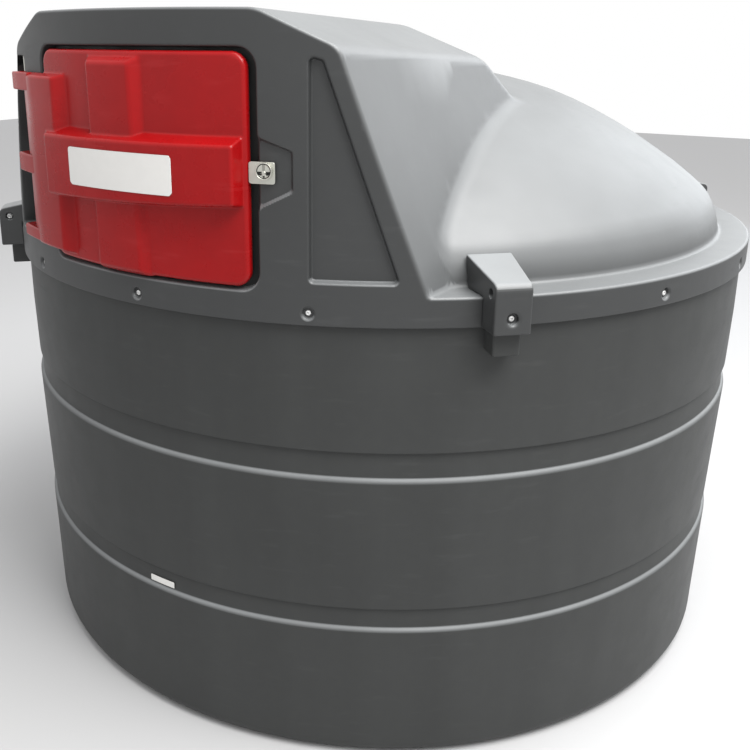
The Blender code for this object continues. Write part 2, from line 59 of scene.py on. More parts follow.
LID_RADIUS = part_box("lid_rim_rear")[1][1]
LEDGE_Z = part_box("lid_rim_rear")[1][2] - LID_Z
TINY = 1e-9
UP = np.array([0.0, 0.0, 1.0])
PLAN_TOLERANCE = 1e-7
STRAIGHT = 1e-4
PULL_PASSES, LEAST_SLOPE = 3, 0.05
HEIGHT_SEARCH = (-0.1, 0.8, 34)
RADIUS_SEARCH = (-0.04, 0.001, 30)
# A large moulding's waviness: share, waves round it, waves per metre of height in radians, and start.
WAVES = ((1.0, 5, 7.0, 0.0), (1.0, 9, -4.0, 1.3), (0.6, 17, 11.0, 0.0))

Array = np.ndarray
Pair = tuple[float, float]
Triple = tuple[float, float, float]
Colour = Triple
Piece = bpy.types.Object
Socket = bpy.types.NodeSocket
Form = Callable[[Array], Array]


def smooth_max(a: Array, b: Array, blend: float) -> Array:
    """The larger of two distances, rounded over where they are within blend of each other."""
    share = np.maximum(blend - np.abs(a - b), 0.0) / blend
    return np.maximum(a, b) + share * share * blend / 4


def smooth_min(a: Array, b: Array, blend: float) -> Array:
    """The smaller of two distances, filled in where they are within blend of each other."""
    return -smooth_max(-a, -b, blend)


def slope_of(form: Form, points: Array, step: float = 2e-5) -> Array:
    """The gradient of a distance function.

    Args:
        form: The function of points (n, 3).
        points: Where it is wanted.
        step: Half the length of each central difference.

    Returns:
        One gradient vector for each point.
    """
    found = np.empty_like(points)
    for axis in range(3):
        shift = np.zeros(3)
        shift[axis] = step
        found[:, axis] = (form(points + shift) - form(points - shift)) / (2 * step)
    return found


def unit(vectors: Array) -> Array:
    """Vectors brought to length one."""
    return vectors / np.maximum(np.linalg.norm(vectors, axis=-1, keepdims=True), TINY)


def polar(azimuth: Array, radius: Array, z: Array) -> Array:
    """Points at these azimuths in degrees, radii and heights."""
    turn = np.radians(azimuth)
    return np.stack(np.broadcast_arrays(radius * np.sin(turn), -radius * np.cos(turn), z), axis=-1)


def facings_at(azimuth: Array) -> tuple[Array, Array]:
    """The outward and the sideways direction at these azimuths in degrees.

    Args:
        azimuth: Azimuths in degrees.

    Returns:
        The outward and the sideways unit vectors.
    """
    turn = np.radians(azimuth)
    out = np.stack([np.sin(turn), -np.cos(turn), 0 * turn], axis=-1)
    along = np.stack([np.cos(turn), np.sin(turn), 0 * turn], axis=-1)
    return out, along


def arc(azimuth: float) -> float:
    """The length round the lid from the front to an azimuth in degrees."""
    return math.radians(azimuth) * LID_RADIUS


def placed(corners: Sequence[Pair]) -> Array:
    """Corners given as azimuths and heights, laid out flat."""
    return np.array([(arc(azimuth), z) for azimuth, z in corners])


def padded(low: Sequence[float], high: Sequence[float], *by: float) -> tuple[Array, Array]:
    """A box's two corners, moved apart by a distance or by one distance along each axis."""
    return np.asarray(low) - by, np.asarray(high) + by


def halved(low: Array, high: Array, steps: int, below: Form) -> Array:
    """Finds by halving where a test stops being true between low and high.

    Args:
        low: Where the test is true.
        high: Where it isn't.
        steps: How often to halve.
        below: The test.

    Returns:
        The places in between.
    """
    for _ in range(steps):
        middle = (low + high) / 2
        found = below(middle)
        low, high = np.where(found, middle, low), np.where(found, high, middle)
    return (low + high) / 2


def bent(flat: Array, normals: Array) -> tuple[Array, Array]:
    """Bends points laid out flat round the lid's axis.

    Args:
        flat: Points as arc length on the lid's radius, height, and distance outside the lid's radius.
        normals: Their normals in the same three directions.

    Returns:
        The points and normals in the object's own frame.
    """
    azimuth = np.degrees(flat[..., 0] / LID_RADIUS)
    radius = LID_RADIUS + flat[..., 2]
    out, along = facings_at(azimuth)
    facing = (normals[..., 0:1] * along * (LID_RADIUS / radius)[..., None]
              + normals[..., 1:2] * UP + normals[..., 2:3] * out)
    return polar(azimuth, radius, flat[..., 1]), unit(facing)


class Shell:
    """Gathers patches of points, normals and triangles, and makes one smooth mesh of them."""

    def __init__(self) -> None:
        """Starts without patches."""
        self.points: list[Array] = []
        self.normals: list[Array] = []
        self.triangles: list[Array] = []
        self.total = 0

    def add(self, points: Array, normals: Array, triangles: Array) -> None:
        """Adds one patch.

        Args:
            points: Its points (n, 3).
            normals: One outward normal for each point.
            triangles: Three indices for each triangle, turned the right way round later.
        """
        self.points.append(points)
        self.normals.append(normals)
        self.triangles.append(np.asarray(triangles, dtype=np.int64).reshape(-1, 3) + self.total)
        self.total += len(points)

    def add_grid(self, points: Array, normals: Array, closed: bool = False) -> None:
        """Adds a patch of rows and columns, whose columns join up where it is closed.

        Args:
            points: Rows and columns of points.
            normals: Their outward normals.
            closed: Whether the last column joins the first.
        """
        index = np.arange(points.shape[0] * points.shape[1]).reshape(points.shape[:2])
        if closed:
            index = np.concatenate([index, index[:, :1]], axis=1)
        a, b, c, d = index[:-1, :-1], index[:-1, 1:], index[1:, 1:], index[1:, :-1]
        halves = [np.stack([a, b, c], axis=-1), np.stack([a, c, d], axis=-1)]
        self.add(points.reshape(-1, 3), normals.reshape(-1, 3), np.concatenate(halves).reshape(-1, 3))

    def build(self, name: str, lift: float = 0.0, weld: float = 1e-6) -> Piece:
        """Welds the patches and makes the object.

        Args:
            name: The piece's name.
            lift: Height added to every point.
            weld: Points closer than this become one.

        Returns:
            The object, linked to the scene.
        """
        points, normals = np.concatenate(self.points), np.concatenate(self.normals)
        triangles = np.concatenate(self.triangles)
        keys = np.round(points / weld).astype(np.int64)
        _, first, inverse = np.unique(keys, axis=0, return_index=True, return_inverse=True)
        corners = inverse.reshape(-1)[triangles]
        whole = ((corners[:, 0] != corners[:, 1]) & (corners[:, 1] != corners[:, 2])
                 & (corners[:, 2] != corners[:, 0]))
        triangles, corners, kept = triangles[whole], corners[whole], points[first]
        a, b, c = (kept[corners[:, i]] for i in range(3))
        against = np.einsum("ij,ij->i", np.cross(b - a, c - a), normals[triangles].sum(axis=1)) < 0
        corners[against] = corners[against][:, ::-1]
        triangles[against] = triangles[against][:, ::-1]
        kept[:, 2] += lift
        mesh = bpy.data.meshes.new(name)
        mesh.vertices.add(len(kept))
        mesh.vertices.foreach_set("co", kept.astype(np.float32).ravel())
        mesh.loops.add(corners.size)
        mesh.loops.foreach_set("vertex_index", corners.astype(np.int32).ravel())
        mesh.polygons.add(len(corners))
        mesh.polygons.foreach_set("loop_start", np.arange(0, corners.size, 3, dtype=np.int32))
        mesh.update(calc_edges=True)
        mesh.shade_smooth()
        mesh.normals_split_custom_set(normals[triangles].reshape(-1, 3).tolist())
        made = bpy.data.objects.new(name, mesh)
        bpy.context.scene.collection.objects.link(made)
        return made


def net_of(form: Form, low: Sequence[float], high: Sequence[float],
           step: Sequence[float]) -> tuple[Array, Array, Array]:
    """Meshes the surface where a distance function is zero.

    Args:
        form: The distance function, negative inside.
        low: Lower corner of the space that holds the surface.
        high: Upper corner.
        step: The cells' size along each axis.

    Returns:
        Points, normals and triangles.
    """
    low, step = np.asarray(low, float), np.asarray(step, float)
    counts = np.ceil((np.asarray(high) - low) / step).astype(int) + 1
    axes = [low[i] + step[i] * np.arange(counts[i]) for i in range(3)]
    nodes = np.stack(np.meshgrid(*axes, indexing="ij"), axis=-1)
    values = form(nodes.reshape(-1, 3)).reshape(counts)
    inside = values < 0
    held = np.zeros(counts - 1, dtype=int)
    for i, j, k in itertools.product((0, 1), repeat=3):
        held += inside[i:counts[0] - 1 + i, j:counts[1] - 1 + j, k:counts[2] - 1 + k]
    active = (held > 0) & (held < 8)
    cells = np.argwhere(active)
    number = np.full(active.shape, -1)
    number[active] = np.arange(len(cells))
    sums, hits = np.zeros((len(cells), 3)), np.zeros(len(cells))
    for axis in range(3):
        one, two = (i for i in range(3) if i != axis)
        for i, j in itertools.product((0, 1), repeat=2):
            near = cells.copy()
            near[:, one] += i
            near[:, two] += j
            far = near.copy()
            far[:, axis] += 1
            value, other = values[tuple(near.T)], values[tuple(far.T)]
            crosses = (value < 0) != (other < 0)
            place = near.astype(float)
            place[:, axis] += np.where(crosses, value / np.where(crosses, value - other, 1.0), 0.0)
            sums[crosses] += place[crosses]
            hits += crosses
    points = low + sums / hits[:, None] * step
    for _ in range(PULL_PASSES):
        slope = slope_of(form, points)
        size = np.maximum((slope * slope).sum(axis=1, keepdims=True), LEAST_SLOPE)
        points = points - np.clip(form(points)[:, None] * slope / size, -step / 2, step / 2)
    faces = []
    for axis in range(3):
        one, two = (i for i in range(3) if i != axis)
        edges = np.argwhere(np.diff(inside.astype(np.int8), axis=axis) != 0)
        rim = ((edges[:, one] > 0) & (edges[:, two] > 0)
               & (edges[:, one] < counts[one] - 1) & (edges[:, two] < counts[two] - 1))
        edges = edges[rim]
        back_one, back_two = np.zeros(3, int), np.zeros(3, int)
        back_one[one], back_two[two] = 1, 1
        a, b, c, d = (number[tuple((edges - back).T)]
                      for back in (0 * back_one, back_one, back_one + back_two, back_two))
        faces += [np.stack([a, b, c], axis=-1), np.stack([a, c, d], axis=-1)]
    return points, unit(slope_of(form, points)), np.concatenate(faces)


def joined(flat: Array, edges: Sequence[tuple[int, int]]) -> Array:
    """Triangulates points in a plane.

    Args:
        flat: The points (n, 2).
        edges: Pairs of points that have to be joined.

    Returns:
        Triangles over the points' whole hull, as indices.
    """
    found = geometry.delaunay_2d_cdt([Vector(p) for p in flat.tolist()], edges, [], 0, PLAN_TOLERANCE)
    source = np.array([origins[0] if origins else -1 for origins in found[3]])
    triangles = source[np.array(found[2])]
    return triangles[(triangles >= 0).all(axis=1)]


def ring_edges(start: int, count: int) -> list[tuple[int, int]]:
    """The edges of a closed loop of points numbered from start."""
    return [(start + k, start + (k + 1) % count) for k in range(count)]


def grid_points(across: Array, up: Array) -> Array:
    """Every pairing of two lines of numbers, as points in a plane."""
    return np.stack(np.meshgrid(across, up, indexing="ij"), axis=-1).reshape(-1, 2)


def within(flat: Array, loop: Array) -> Array:
    """Tells which points in a plane lie inside a closed loop.

    Args:
        flat: The points (n, 2).
        loop: The loop's points in order.

    Returns:
        True for each point inside.
    """
    x, y = flat[:, 0:1], flat[:, 1:2]
    x0, y0 = loop[:, 0], loop[:, 1]
    x1, y1 = np.roll(x0, -1), np.roll(y0, -1)
    rise = np.where(y1 == y0, TINY, y1 - y0)
    crosses = ((y0 > y) != (y1 > y)) & (x < x0 + (y - y0) * (x1 - x0) / rise)
    return crosses.sum(axis=1) % 2 == 1


@dataclass(frozen=True)
class LidForm:
    """The lid's outer surface as one distance function: dome, ledge, housing and cylinder, blended."""

    roof_corner: Triple = (0.335, -1.100, 0.680)
    shoulder: Triple = (0.500, -1.036, 0.602)
    roof_fall: float = 0.045
    side_lean: float = 0.3265
    rear_low: Pair = (-0.174, 0.447)
    rear_high: Pair = (-0.430, 0.648)
    rim_blend: float = 0.008
    foot_blend: float = 0.009
    valley_blend: float = 0.022
    roof_blend: float = 0.008
    side_blend: float = 0.015
    rear_blend: float = 0.026
    dome_radii: tuple[float, ...] = (
        0.0, 0.135, 0.270, 0.405, 0.540, 0.645, 0.750, 0.820, 0.880, 0.930, 0.968, 0.998, 1.020, 1.036,
        1.048, 1.055, 1.060, 1.065)
    dome_heights: tuple[float, ...] = (
        0.553, 0.5465, 0.527, 0.500, 0.463, 0.4195, 0.366, 0.325, 0.285, 0.2515, 0.222, 0.198, 0.178,
        0.157, 0.132, 0.113, 0.095, 0.0713)

    def planes(self) -> list[tuple[Array, float]]:
        """The housing's roof, right bevel, right side and rear slope as outward normals and distances.

        Returns:
            A normal and a distance from the origin for each plane.
        """
        roof, shoulder = np.array(self.roof_corner), np.array(self.shoulder)
        front = np.array([0.0, 1.0, -self.roof_fall])
        bevel = np.cross(shoulder - roof, front)
        rise = self.rear_high[1] - self.rear_low[1]
        run = self.rear_low[0] - self.rear_high[0]
        rear = np.array([0.0, rise, run])
        found = []
        for normal, point in ((np.array([0.0, self.roof_fall, 1.0]), roof),
                              (bevel * np.sign(bevel[2]), shoulder),
                              (np.array([1.0, 0.0, self.side_lean]), shoulder),
                              (rear, np.array([0.0, *self.rear_low]))):
            normal = normal / np.linalg.norm(normal)
            found.append((normal, float(normal @ point)))
        return found

    def housing(self, p: Array) -> Array:
        """Distance outside the cabinet housing.

        Args:
            p: Points, heights from the skirt's edge.

        Returns:
            One distance for each point.
        """
        folded = np.stack([np.abs(p[:, 0]), p[:, 1], p[:, 2]], axis=1)
        roof, bevel, side, rear = (folded @ n - d for n, d in self.planes())
        top = smooth_max(roof, bevel, self.roof_blend)
        return smooth_max(smooth_max(top, side, self.side_blend), rear, self.rear_blend)

    def dome(self, p: Array) -> Array:
        """Distance outside the dome, whose foot runs on steeply below the ledge.

        Args:
            p: Points, heights from the skirt's edge.

        Returns:
            One distance for each point.
        """
        radius = np.hypot(p[:, 0], p[:, 1])
        height, slope = self.dome_curve(radius)
        return (p[:, 2] - height) / np.sqrt(1 + slope * slope)

    def dome_curve(self, radius: Array) -> tuple[Array, Array]:
        """The dome's height and slope at these radii, along a smooth curve through its points.

        Args:
            radius: Distances from the axis.

        Returns:
            Heights and slopes.
        """
        r, z = np.array(self.dome_radii), np.array(self.dome_heights)
        chords = np.diff(z) / np.diff(r)
        tangents = np.concatenate([[0.0], (chords[:-1] + chords[1:]) / 2, [chords[-1]]])
        k = np.clip(np.searchsorted(r, radius) - 1, 0, len(r) - 2)
        wide = r[k + 1] - r[k]
        t = np.clip((radius - r[k]) / wide, 0.0, 1.0)
        height = ((2 * t**3 - 3 * t**2 + 1) * z[k] + (t**3 - 2 * t**2 + t) * wide * tangents[k]
                  + (3 * t**2 - 2 * t**3) * z[k + 1] + (t**3 - t**2) * wide * tangents[k + 1])
        slope = ((6 * t**2 - 6 * t) * (z[k] - z[k + 1]) / wide + (3 * t**2 - 4 * t + 1) * tangents[k]
                 + (3 * t**2 - 2 * t) * tangents[k + 1])
        beyond = np.maximum(radius - r[-1], 0.0)
        return height + beyond * tangents[-1], slope

    def top(self, p: Array) -> Array:
        """Distance outside housing, dome and ledge together."""
        raised = smooth_min(self.housing(p), self.dome(p), self.valley_blend)
        return smooth_min(raised, p[:, 2] - LEDGE_Z, self.foot_blend)

    def whole(self, p: Array) -> Array:
        """Distance outside the lid, rounded over at its cylinder."""
        return smooth_max(self.top(p), np.hypot(p[:, 0], p[:, 1]) - LID_RADIUS, self.rim_blend)

    def height(self, x: Array, y: Array, form: Form, level: float = 0.0) -> Array:
        """The height at which a distance function reaches a level, found by halving."""
        low, high, steps = HEIGHT_SEARCH
        return halved(np.full(len(x), low), np.full(len(x), high), steps,
                      lambda z: form(np.stack([x, y, z], axis=1)) < level)

    def radius(self, azimuth: Array, z: Array) -> Array:
        """The radius of the lid's outside at these azimuths and heights, found by halving."""
        low, high, steps = RADIUS_SEARCH
        return halved(np.full(len(azimuth), LID_RADIUS + low), np.full(len(azimuth), LID_RADIUS + high),
                      steps, lambda radius: self.whole(polar(azimuth, radius, z)) < 0)


def inward_of(corners: Array) -> Array:
    """The inward normal of each side of an anticlockwise polygon."""
    along = unit(np.roll(corners, -1, axis=0) - corners)
    return np.stack([-along[:, 1], along[:, 0]], axis=1)


@dataclass
class Outline:
    """A flat outline, anticlockwise, with rounded corners, that can be drawn further in."""

    corners: Array
    round: float
    spacing: float = 0.012
    arc_steps: int = 8

    def loop(self, inset: float) -> tuple[Array, Array]:
        """The outline drawn further in.

        Args:
            inset: How far in.

        Returns:
            Its points, as many for every inset, and their inward normals.
        """
        corners, inward = self.corners, inward_of(self.corners)
        points, normals = [], []
        for k in range(len(corners)):
            before, after = inward[k - 1], inward[k]
            mitre = (before + after) / (1 + before @ after)
            centre = corners[k] + mitre * max(self.round, inset)
            radius = max(self.round - inset, 0.0)
            turn = math.acos(float(np.clip(before @ after, -1, 1)))
            for j in range(self.arc_steps + 1):
                t = j / self.arc_steps
                facing = (math.sin((1 - t) * turn) * before + math.sin(t * turn) * after) / math.sin(turn)
                points.append(centre - facing * radius)
                normals.append(facing)
            nxt = (k + 1) % len(corners)
            mitre_next = (inward[k] + inward[nxt]) / (1 + inward[k] @ inward[nxt])
            end = corners[nxt] + mitre_next * max(self.round, inset) - after * radius
            full = np.linalg.norm(corners[nxt] - corners[k])
            count = max(int(full / self.spacing), 1)
            for j in range(1, count):
                points.append(points[-j] + (end - points[-j]) * j / count)
                normals.append(after)
        return np.array(points), np.array(normals)


@dataclass
class Ring:
    """A round outline that can be drawn further in."""

    centre: Pair
    radius: float
    count: int = 36

    def loop(self, inset: float) -> tuple[Array, Array]:
        """The circle drawn further in, with its inward normals.

        Args:
            inset: How far it is drawn in.

        Returns:
            Its points and their normals.
        """
        turn = np.arange(self.count) * 2 * math.pi / self.count
        out = np.stack([np.cos(turn), np.sin(turn)], axis=1)
        return np.array(self.centre) + out * (self.radius - inset), -out


def lip(depth: float, top: float, foot: float, wall: float,
        steps: int = 5) -> list[Triple]:
    """The section of a recess's edge, from the rounded lip over the wall into the rounded foot.

    Args:
        depth: The recess's depth.
        top: The lip's radius.
        foot: The foot's radius, 0 for a wall that ends without one.
        wall: The wall's steepness in degrees.
        steps: Steps along each round.

    Returns:
        Inset, depth and tilt of the normal in degrees at each station.
    """
    lean = math.radians(wall)
    found = []
    for k in range(steps + 1):
        t = lean * k / steps
        found.append((top * math.sin(t), top * (1 - math.cos(t)), math.degrees(t)))
    straight = (depth - (top + foot) * (1 - math.cos(lean))) / math.sin(lean)
    start = found[-1][0] + straight * math.cos(lean), found[-1][1] + straight * math.sin(lean)
    if foot == 0.0:
        return [*found, (*start, wall)]
    for k in range(steps + 1):
        t = lean * (1 - k / steps)
        inset = start[0] + foot * (math.sin(lean) - math.sin(t))
        found.append((inset, start[1] + foot * (math.cos(t) - math.cos(lean)), math.degrees(t)))
    return found


@dataclass(frozen=True)
class Recess:
    """A recess of the front: corners as azimuths and heights, their round, and the section of its edge.

    Without a depth it goes through to the inside, and then it has no foot.
    """

    corners: tuple[Pair, ...]
    corner: float
    depth: float | None
    top: float
    foot: float
    wall: float
    dented: bool = False


@dataclass
class LidShell:
    """The moulded lid: a top sheet over dome, ledge and housing, and a skirt with the cabinet's front."""

    form: LidForm
    # The shell's sizes.
    inner_radius: float = 1.095
    skirt_inner: float = 1.1385
    skin: float = 0.012
    edge: float = 0.003
    foot_edge: float = 0.0015
    edge_steps: int = 5
    # The top sheet's points: spacing, how far it may bend between them, and its rows at rim and foot.
    fine: float = 0.004
    coarse: float = 0.064
    turn_limit: float = 7.0
    inside_fine: float = 0.016
    inside_turn: float = 25.0
    inside_step: float = 0.0008
    probe_inset: float = 0.0005
    probe_step: float = 0.0004
    front_half: float = 40.0
    front_step: float = 0.32
    rest_stations: int = 225
    rows: tuple[float, ...] = (0.0012, 0.003, 0.0055, 0.009, 0.014)
    row_margin: float = 0.004
    rim_margin: float = 0.006
    foot_rows: tuple[float, ...] = (
        0.995, 1.003, 1.011, 1.018, 1.0245, 1.030, 1.035, 1.0395, 1.0435, 1.047, 1.050, 1.053, 1.0555,
        1.058, 1.060, 1.062, 1.064, 1.066, 1.068, 1.070, 1.073, 1.078)
    foot_stations: int = 900
    foot_clear: float = 0.006
    foot_margin: Pair = (0.004, 0.003)
    # The skirt's points: seam, levels, grids, and their clearance from its edges and recesses.
    seam: float = -160.0
    skirt_levels: tuple[float, ...] = (0.008, 0.014, 0.022, 0.0315, 0.041, 0.050, 0.0545)
    skirt_step: float = 1.25
    sheet_half: float = 0.78
    sheet_heights: Pair = (0.084, 0.70)
    sheet_grid: Pair = (0.028, 0.032)
    edge_clear: Pair = (0.012, 0.010)
    side_clear: float = 0.002
    recess_clear: float = -0.0035
    floor_grid: float = 0.022
    floor_margin: float = 0.004
    weld: float = 2e-6
    # The opening, the leaning recess on the right and the hinge recess.
    recesses: tuple[Recess, ...] = (
        Recess(((-17.2, 0.066), (17.2, 0.066), (17.2, 0.607), (-17.2, 0.607)), 0.050, None, 0.006, 0.0,
               84.0, True),
        Recess(((22.4, 0.095), (33.1, 0.095), (24.4, 0.579), (22.4, 0.590)), 0.016, 0.014, 0.006, 0.004,
               72.0),
        Recess(((-33.1, 0.095), (-22.6, 0.095), (-22.6, 0.577), (-26.5, 0.577)), 0.016, 0.038, 0.004,
               0.004, 86.0))
    # The lock's pocket and the points round it.
    pocket: tuple[Pair, ...] = (
        (14.0, 0.228), (17.2, 0.258), (21.0, 0.297), (21.0, 0.389), (17.2, 0.417), (14.0, 0.438))
    pocket_depth: float = 0.008
    pocket_wall: float = 0.007
    pocket_blend: float = 0.008
    pocket_grid: tuple[Pair, Pair, float] = (
        (0.347, 0.430), (0.246, 0.430), 0.003)
    pocket_band: Pair = (-0.003, 0.002)
    pocket_clear: Pair = (-0.006, 0.01)
    pocket_from: Pair = (0.34, 0.2)
    dent_fade: float = 0.04
    dent_step: float = 0.0003
    # The screw wells, with inset, depth and tilt along their sides.
    well_azimuths: tuple[float, ...] = (
        0.0, 22.5, 67.5, 90.0, 112.5, 157.5, 180.0, -157.5, -112.5, -90.0, -67.5, -22.5)
    well_z: float = 0.029
    well_radius: float = 0.019
    well_steps: tuple[Triple, ...] = (
        (0.0, 0.0, 5.0), (0.0015, 0.0004, 22.0), (0.0045, 0.0022, 38.0), (0.006, 0.004, 62.0),
        (0.0064, 0.008, 80.0), (0.0074, 0.009, 20.0))

    def azimuths(self) -> Array:
        """The stations round the lid, closer together along the cabinet's front.

        Returns:
            Azimuths in degrees, rising.
        """
        front = np.arange(-self.front_half, self.front_half + TINY, self.front_step)
        rest = np.linspace(self.front_half, 360.0 - self.front_half, self.rest_stations)[1:-1]
        return np.concatenate([front, rest])

    def shared_edge(self) -> tuple[Array, float, Array]:
        """The line where top sheet and skirt meet: azimuths, radius and heights.

        Returns:
            Azimuths in degrees, one radius, and a height for each azimuth.
        """
        azimuth = self.azimuths()
        radius = LID_RADIUS - self.form.rim_blend / 4
        flat = polar(azimuth, radius, 0.0)
        height = self.form.height(flat[:, 0], flat[:, 1], self.form.top, -self.form.rim_blend / 4)
        return azimuth, radius, height

    def inner_height(self, x: Array, y: Array) -> Array:
        """Height of the lid's inside, which follows the cabinet's walls down inside the dome.

        Args:
            x: Places towards the right.
            y: Places towards the back.

        Returns:
            One height for each place.
        """
        cabinet = self.form.height(x, y, self.form.housing, -self.skin)
        shell = self.form.height(x, y, self.form.top, -self.skin)
        in_cabinet = (cabinet > LEDGE_Z - self.skin) & (y < self.form.rear_low[0] - self.skin)
        return np.where(in_cabinet, np.maximum(cabinet, LEDGE_Z - self.skin), shell)

    def plan_points(self, reach: float, fine: float, height: Callable[[Array, Array], Array],
                    turn_limit: float) -> Array:
        """Points in plan, closer together where a surface bends.

        Args:
            reach: Radius up to which they are wanted.
            fine: The smallest spacing.
            height: The surface's height over x and y.
            turn_limit: Degrees its slope may turn within one square.

        Returns:
            Points (n, 2).
        """
        size = self.coarse
        count = int(math.ceil(LID_RADIUS / size))
        line = (np.arange(-count, count) + 0.5) * size
        cells = grid_points(line, line)
        kept = []
        while True:
            near = np.hypot(cells[:, 0], cells[:, 1]) < reach + size
            cells = cells[near]
            kept.append(cells)
            if size <= fine:
                break
            probes, step, normals = size / 2 - self.probe_inset, self.probe_step, []
            for sx, sy in ((0, 0), (-1, -1), (1, -1), (1, 1), (-1, 1)):
                x, y = cells[:, 0] + sx * probes, cells[:, 1] + sy * probes
                here = height(x, y)
                normals.append(unit(np.stack([(here - height(x + step, y)) / step,
                                              (here - height(x, y + step)) / step,
                                              np.ones(len(x))], axis=1)))
            bends = np.zeros(len(cells), bool)
            limit = math.cos(math.radians(turn_limit))
            for one, other in itertools.combinations(normals, 2):
                bends |= (one * other).sum(axis=1) < limit
            kept[-1] = cells[~bends]
            quarter = size / 4
            cells = np.concatenate([cells[bends] + (sx * quarter, sy * quarter)
                                    for sx in (-1, 1) for sy in (-1, 1)])
            size /= 2
        points = np.concatenate(kept)
        return points[np.hypot(points[:, 0], points[:, 1]) < reach]

    def closing_strip(self, shell: Shell) -> Array:
        """Adds the hidden strip between the shared edge and the inside, and gives its inner heights.

        Args:
            shell: The shell that gets it.

        Returns:
            The inner edge's heights.
        """
        azimuth, radius, outer = self.shared_edge()
        flat = polar(azimuth, self.inner_radius, 0.0)
        inner = np.minimum(self.inner_height(flat[:, 0], flat[:, 1]), outer - self.skin / 2)
        inner = np.maximum(inner, LEDGE_Z - self.skin)
        rows = np.stack([polar(azimuth, radius, outer), polar(azimuth, self.inner_radius, inner)])
        down = np.zeros_like(rows)
        down[..., 2] = -1.0
        shell.add_grid(rows, down, closed=True)
        return inner

    def ring_foot(self, free: Array) -> Array:
        """Puts the plan points at the dome's foot, clear of the housing, on rings round the lid.

        Args:
            free: Points in plan.

        Returns:
            The points, with rings in place of those at the foot.
        """
        form = self.form

        def clear(flat: Array) -> Array:
            """Tells which points lie clear of the housing."""
            z = form.height(flat[:, 0], flat[:, 1], form.whole)
            return form.housing(np.stack([flat[:, 0], flat[:, 1], z], axis=1)) > self.foot_clear

        azimuth = np.linspace(0.0, 360.0, self.foot_stations, endpoint=False)
        rings = np.concatenate([polar(azimuth, radius, 0.0)[:, :2] for radius in self.foot_rows])
        radius = np.hypot(free[:, 0], free[:, 1])
        before, beyond = self.foot_margin
        beside = (radius > self.foot_rows[0] - before) & (radius < self.foot_rows[-1] + beyond)
        beside[beside] = clear(free[beside])
        return np.concatenate([free[~beside], rings[clear(rings)]])

    def build_top(self) -> Piece:
        """Makes the closed top sheet: outside, inside and the hidden strip between them.

        Returns:
            The object.
        """
        shell = Shell()
        azimuth, radius, edge_height = self.shared_edge()
        form = self.form

        def outer(x: Array, y: Array) -> Array:
            """The lid's height."""
            return form.height(x, y, form.whole)

        rows = [polar(azimuth, radius - row, 0.0)[:, :2] for row in (0.0, *self.rows)]
        reach = radius - self.rows[-1] - self.row_margin
        free = self.plan_points(reach, self.fine, outer, self.turn_limit)
        free = self.ring_foot(free)
        flat = np.concatenate([*rows, free])
        triangles = joined(flat, [])
        z = outer(flat[:, 0], flat[:, 1])
        z[:len(azimuth)] = edge_height
        points = np.stack([flat[:, 0], flat[:, 1], z], axis=1)
        shell.add(points, unit(slope_of(form.whole, points)), triangles)

        inner = self.closing_strip(shell)
        rim = polar(azimuth, self.inner_radius, 0.0)[:, :2]
        reach = self.inner_radius - self.rim_margin
        free = self.plan_points(reach, self.inside_fine, self.inner_height, self.inside_turn)
        flat = np.concatenate([rim, free])
        z = self.inner_height(flat[:, 0], flat[:, 1])
        z[:len(rim)] = inner
        (x, y), step = flat.T, self.inside_step
        dx = self.inner_height(x + step, y) - self.inner_height(x - step, y)
        dy = self.inner_height(x, y + step) - self.inner_height(x, y - step)
        normals = -unit(np.stack([-dx, -dy, np.full(len(z), 2 * step)], axis=1))
        shell.add(np.stack([x, y, z], axis=1), normals, joined(flat, []))
        return shell.build("lid_top", LID_Z)

    def pocket_form(self, s: Array, z: Array) -> Array:
        """How far inside the lock's pocket a place on the front lies, negative outside.

        Args:
            s: Arc lengths.
            z: Heights.

        Returns:
            One distance for each point.
        """
        corners = placed(self.pocket)
        found = None
        for corner, normal in list(zip(corners, inward_of(corners)))[:-1]:
            inside = (s - corner[0]) * normal[0] + (z - corner[1]) * normal[1]
            found = inside if found is None else smooth_min(found, inside, self.pocket_blend)
        return np.where(s < corners[0, 0], -1.0, found)

    def dent(self, s: Array, z: Array) -> Array:
        """Depth of the lock's pocket."""
        share = np.clip(self.pocket_form(s, z) / self.pocket_wall, 0.0, 1.0)
        return self.pocket_depth * share * share * (3 - 2 * share)

    def front_point(self, s: Array, z: Array) -> Array:
        """Points of the front."""
        azimuth = np.degrees(s / LID_RADIUS)
        return polar(azimuth, self.form.radius(azimuth, z) - self.dent(s, z), z)

    def front_normal(self, s: Array, z: Array) -> Array:
        """Outward normals of the front, tilted where the pocket slopes.

        Args:
            s: Arc lengths.
            z: Heights.

        Returns:
            One normal for each place.
        """
        azimuth = np.degrees(s / LID_RADIUS)
        points = polar(azimuth, self.form.radius(azimuth, z), z)
        step = self.dent_step
        ds = (self.dent(s + step, z) - self.dent(s - step, z)) / (2 * step)
        dz = (self.dent(s, z + step) - self.dent(s, z - step)) / (2 * step)
        _, along = facings_at(azimuth)
        return unit(unit(slope_of(self.form.whole, points)) + ds[:, None] * along + dz[:, None] * UP)

    def lowered(self, s: Array, z: Array, depth: float, dented: bool) -> Array:
        """How much the pocket lowers a recess at a depth, less and less further down."""
        if not dented:
            return 0 * s
        return self.dent(s, z) * max(1 - depth / self.dent_fade, 0.0)

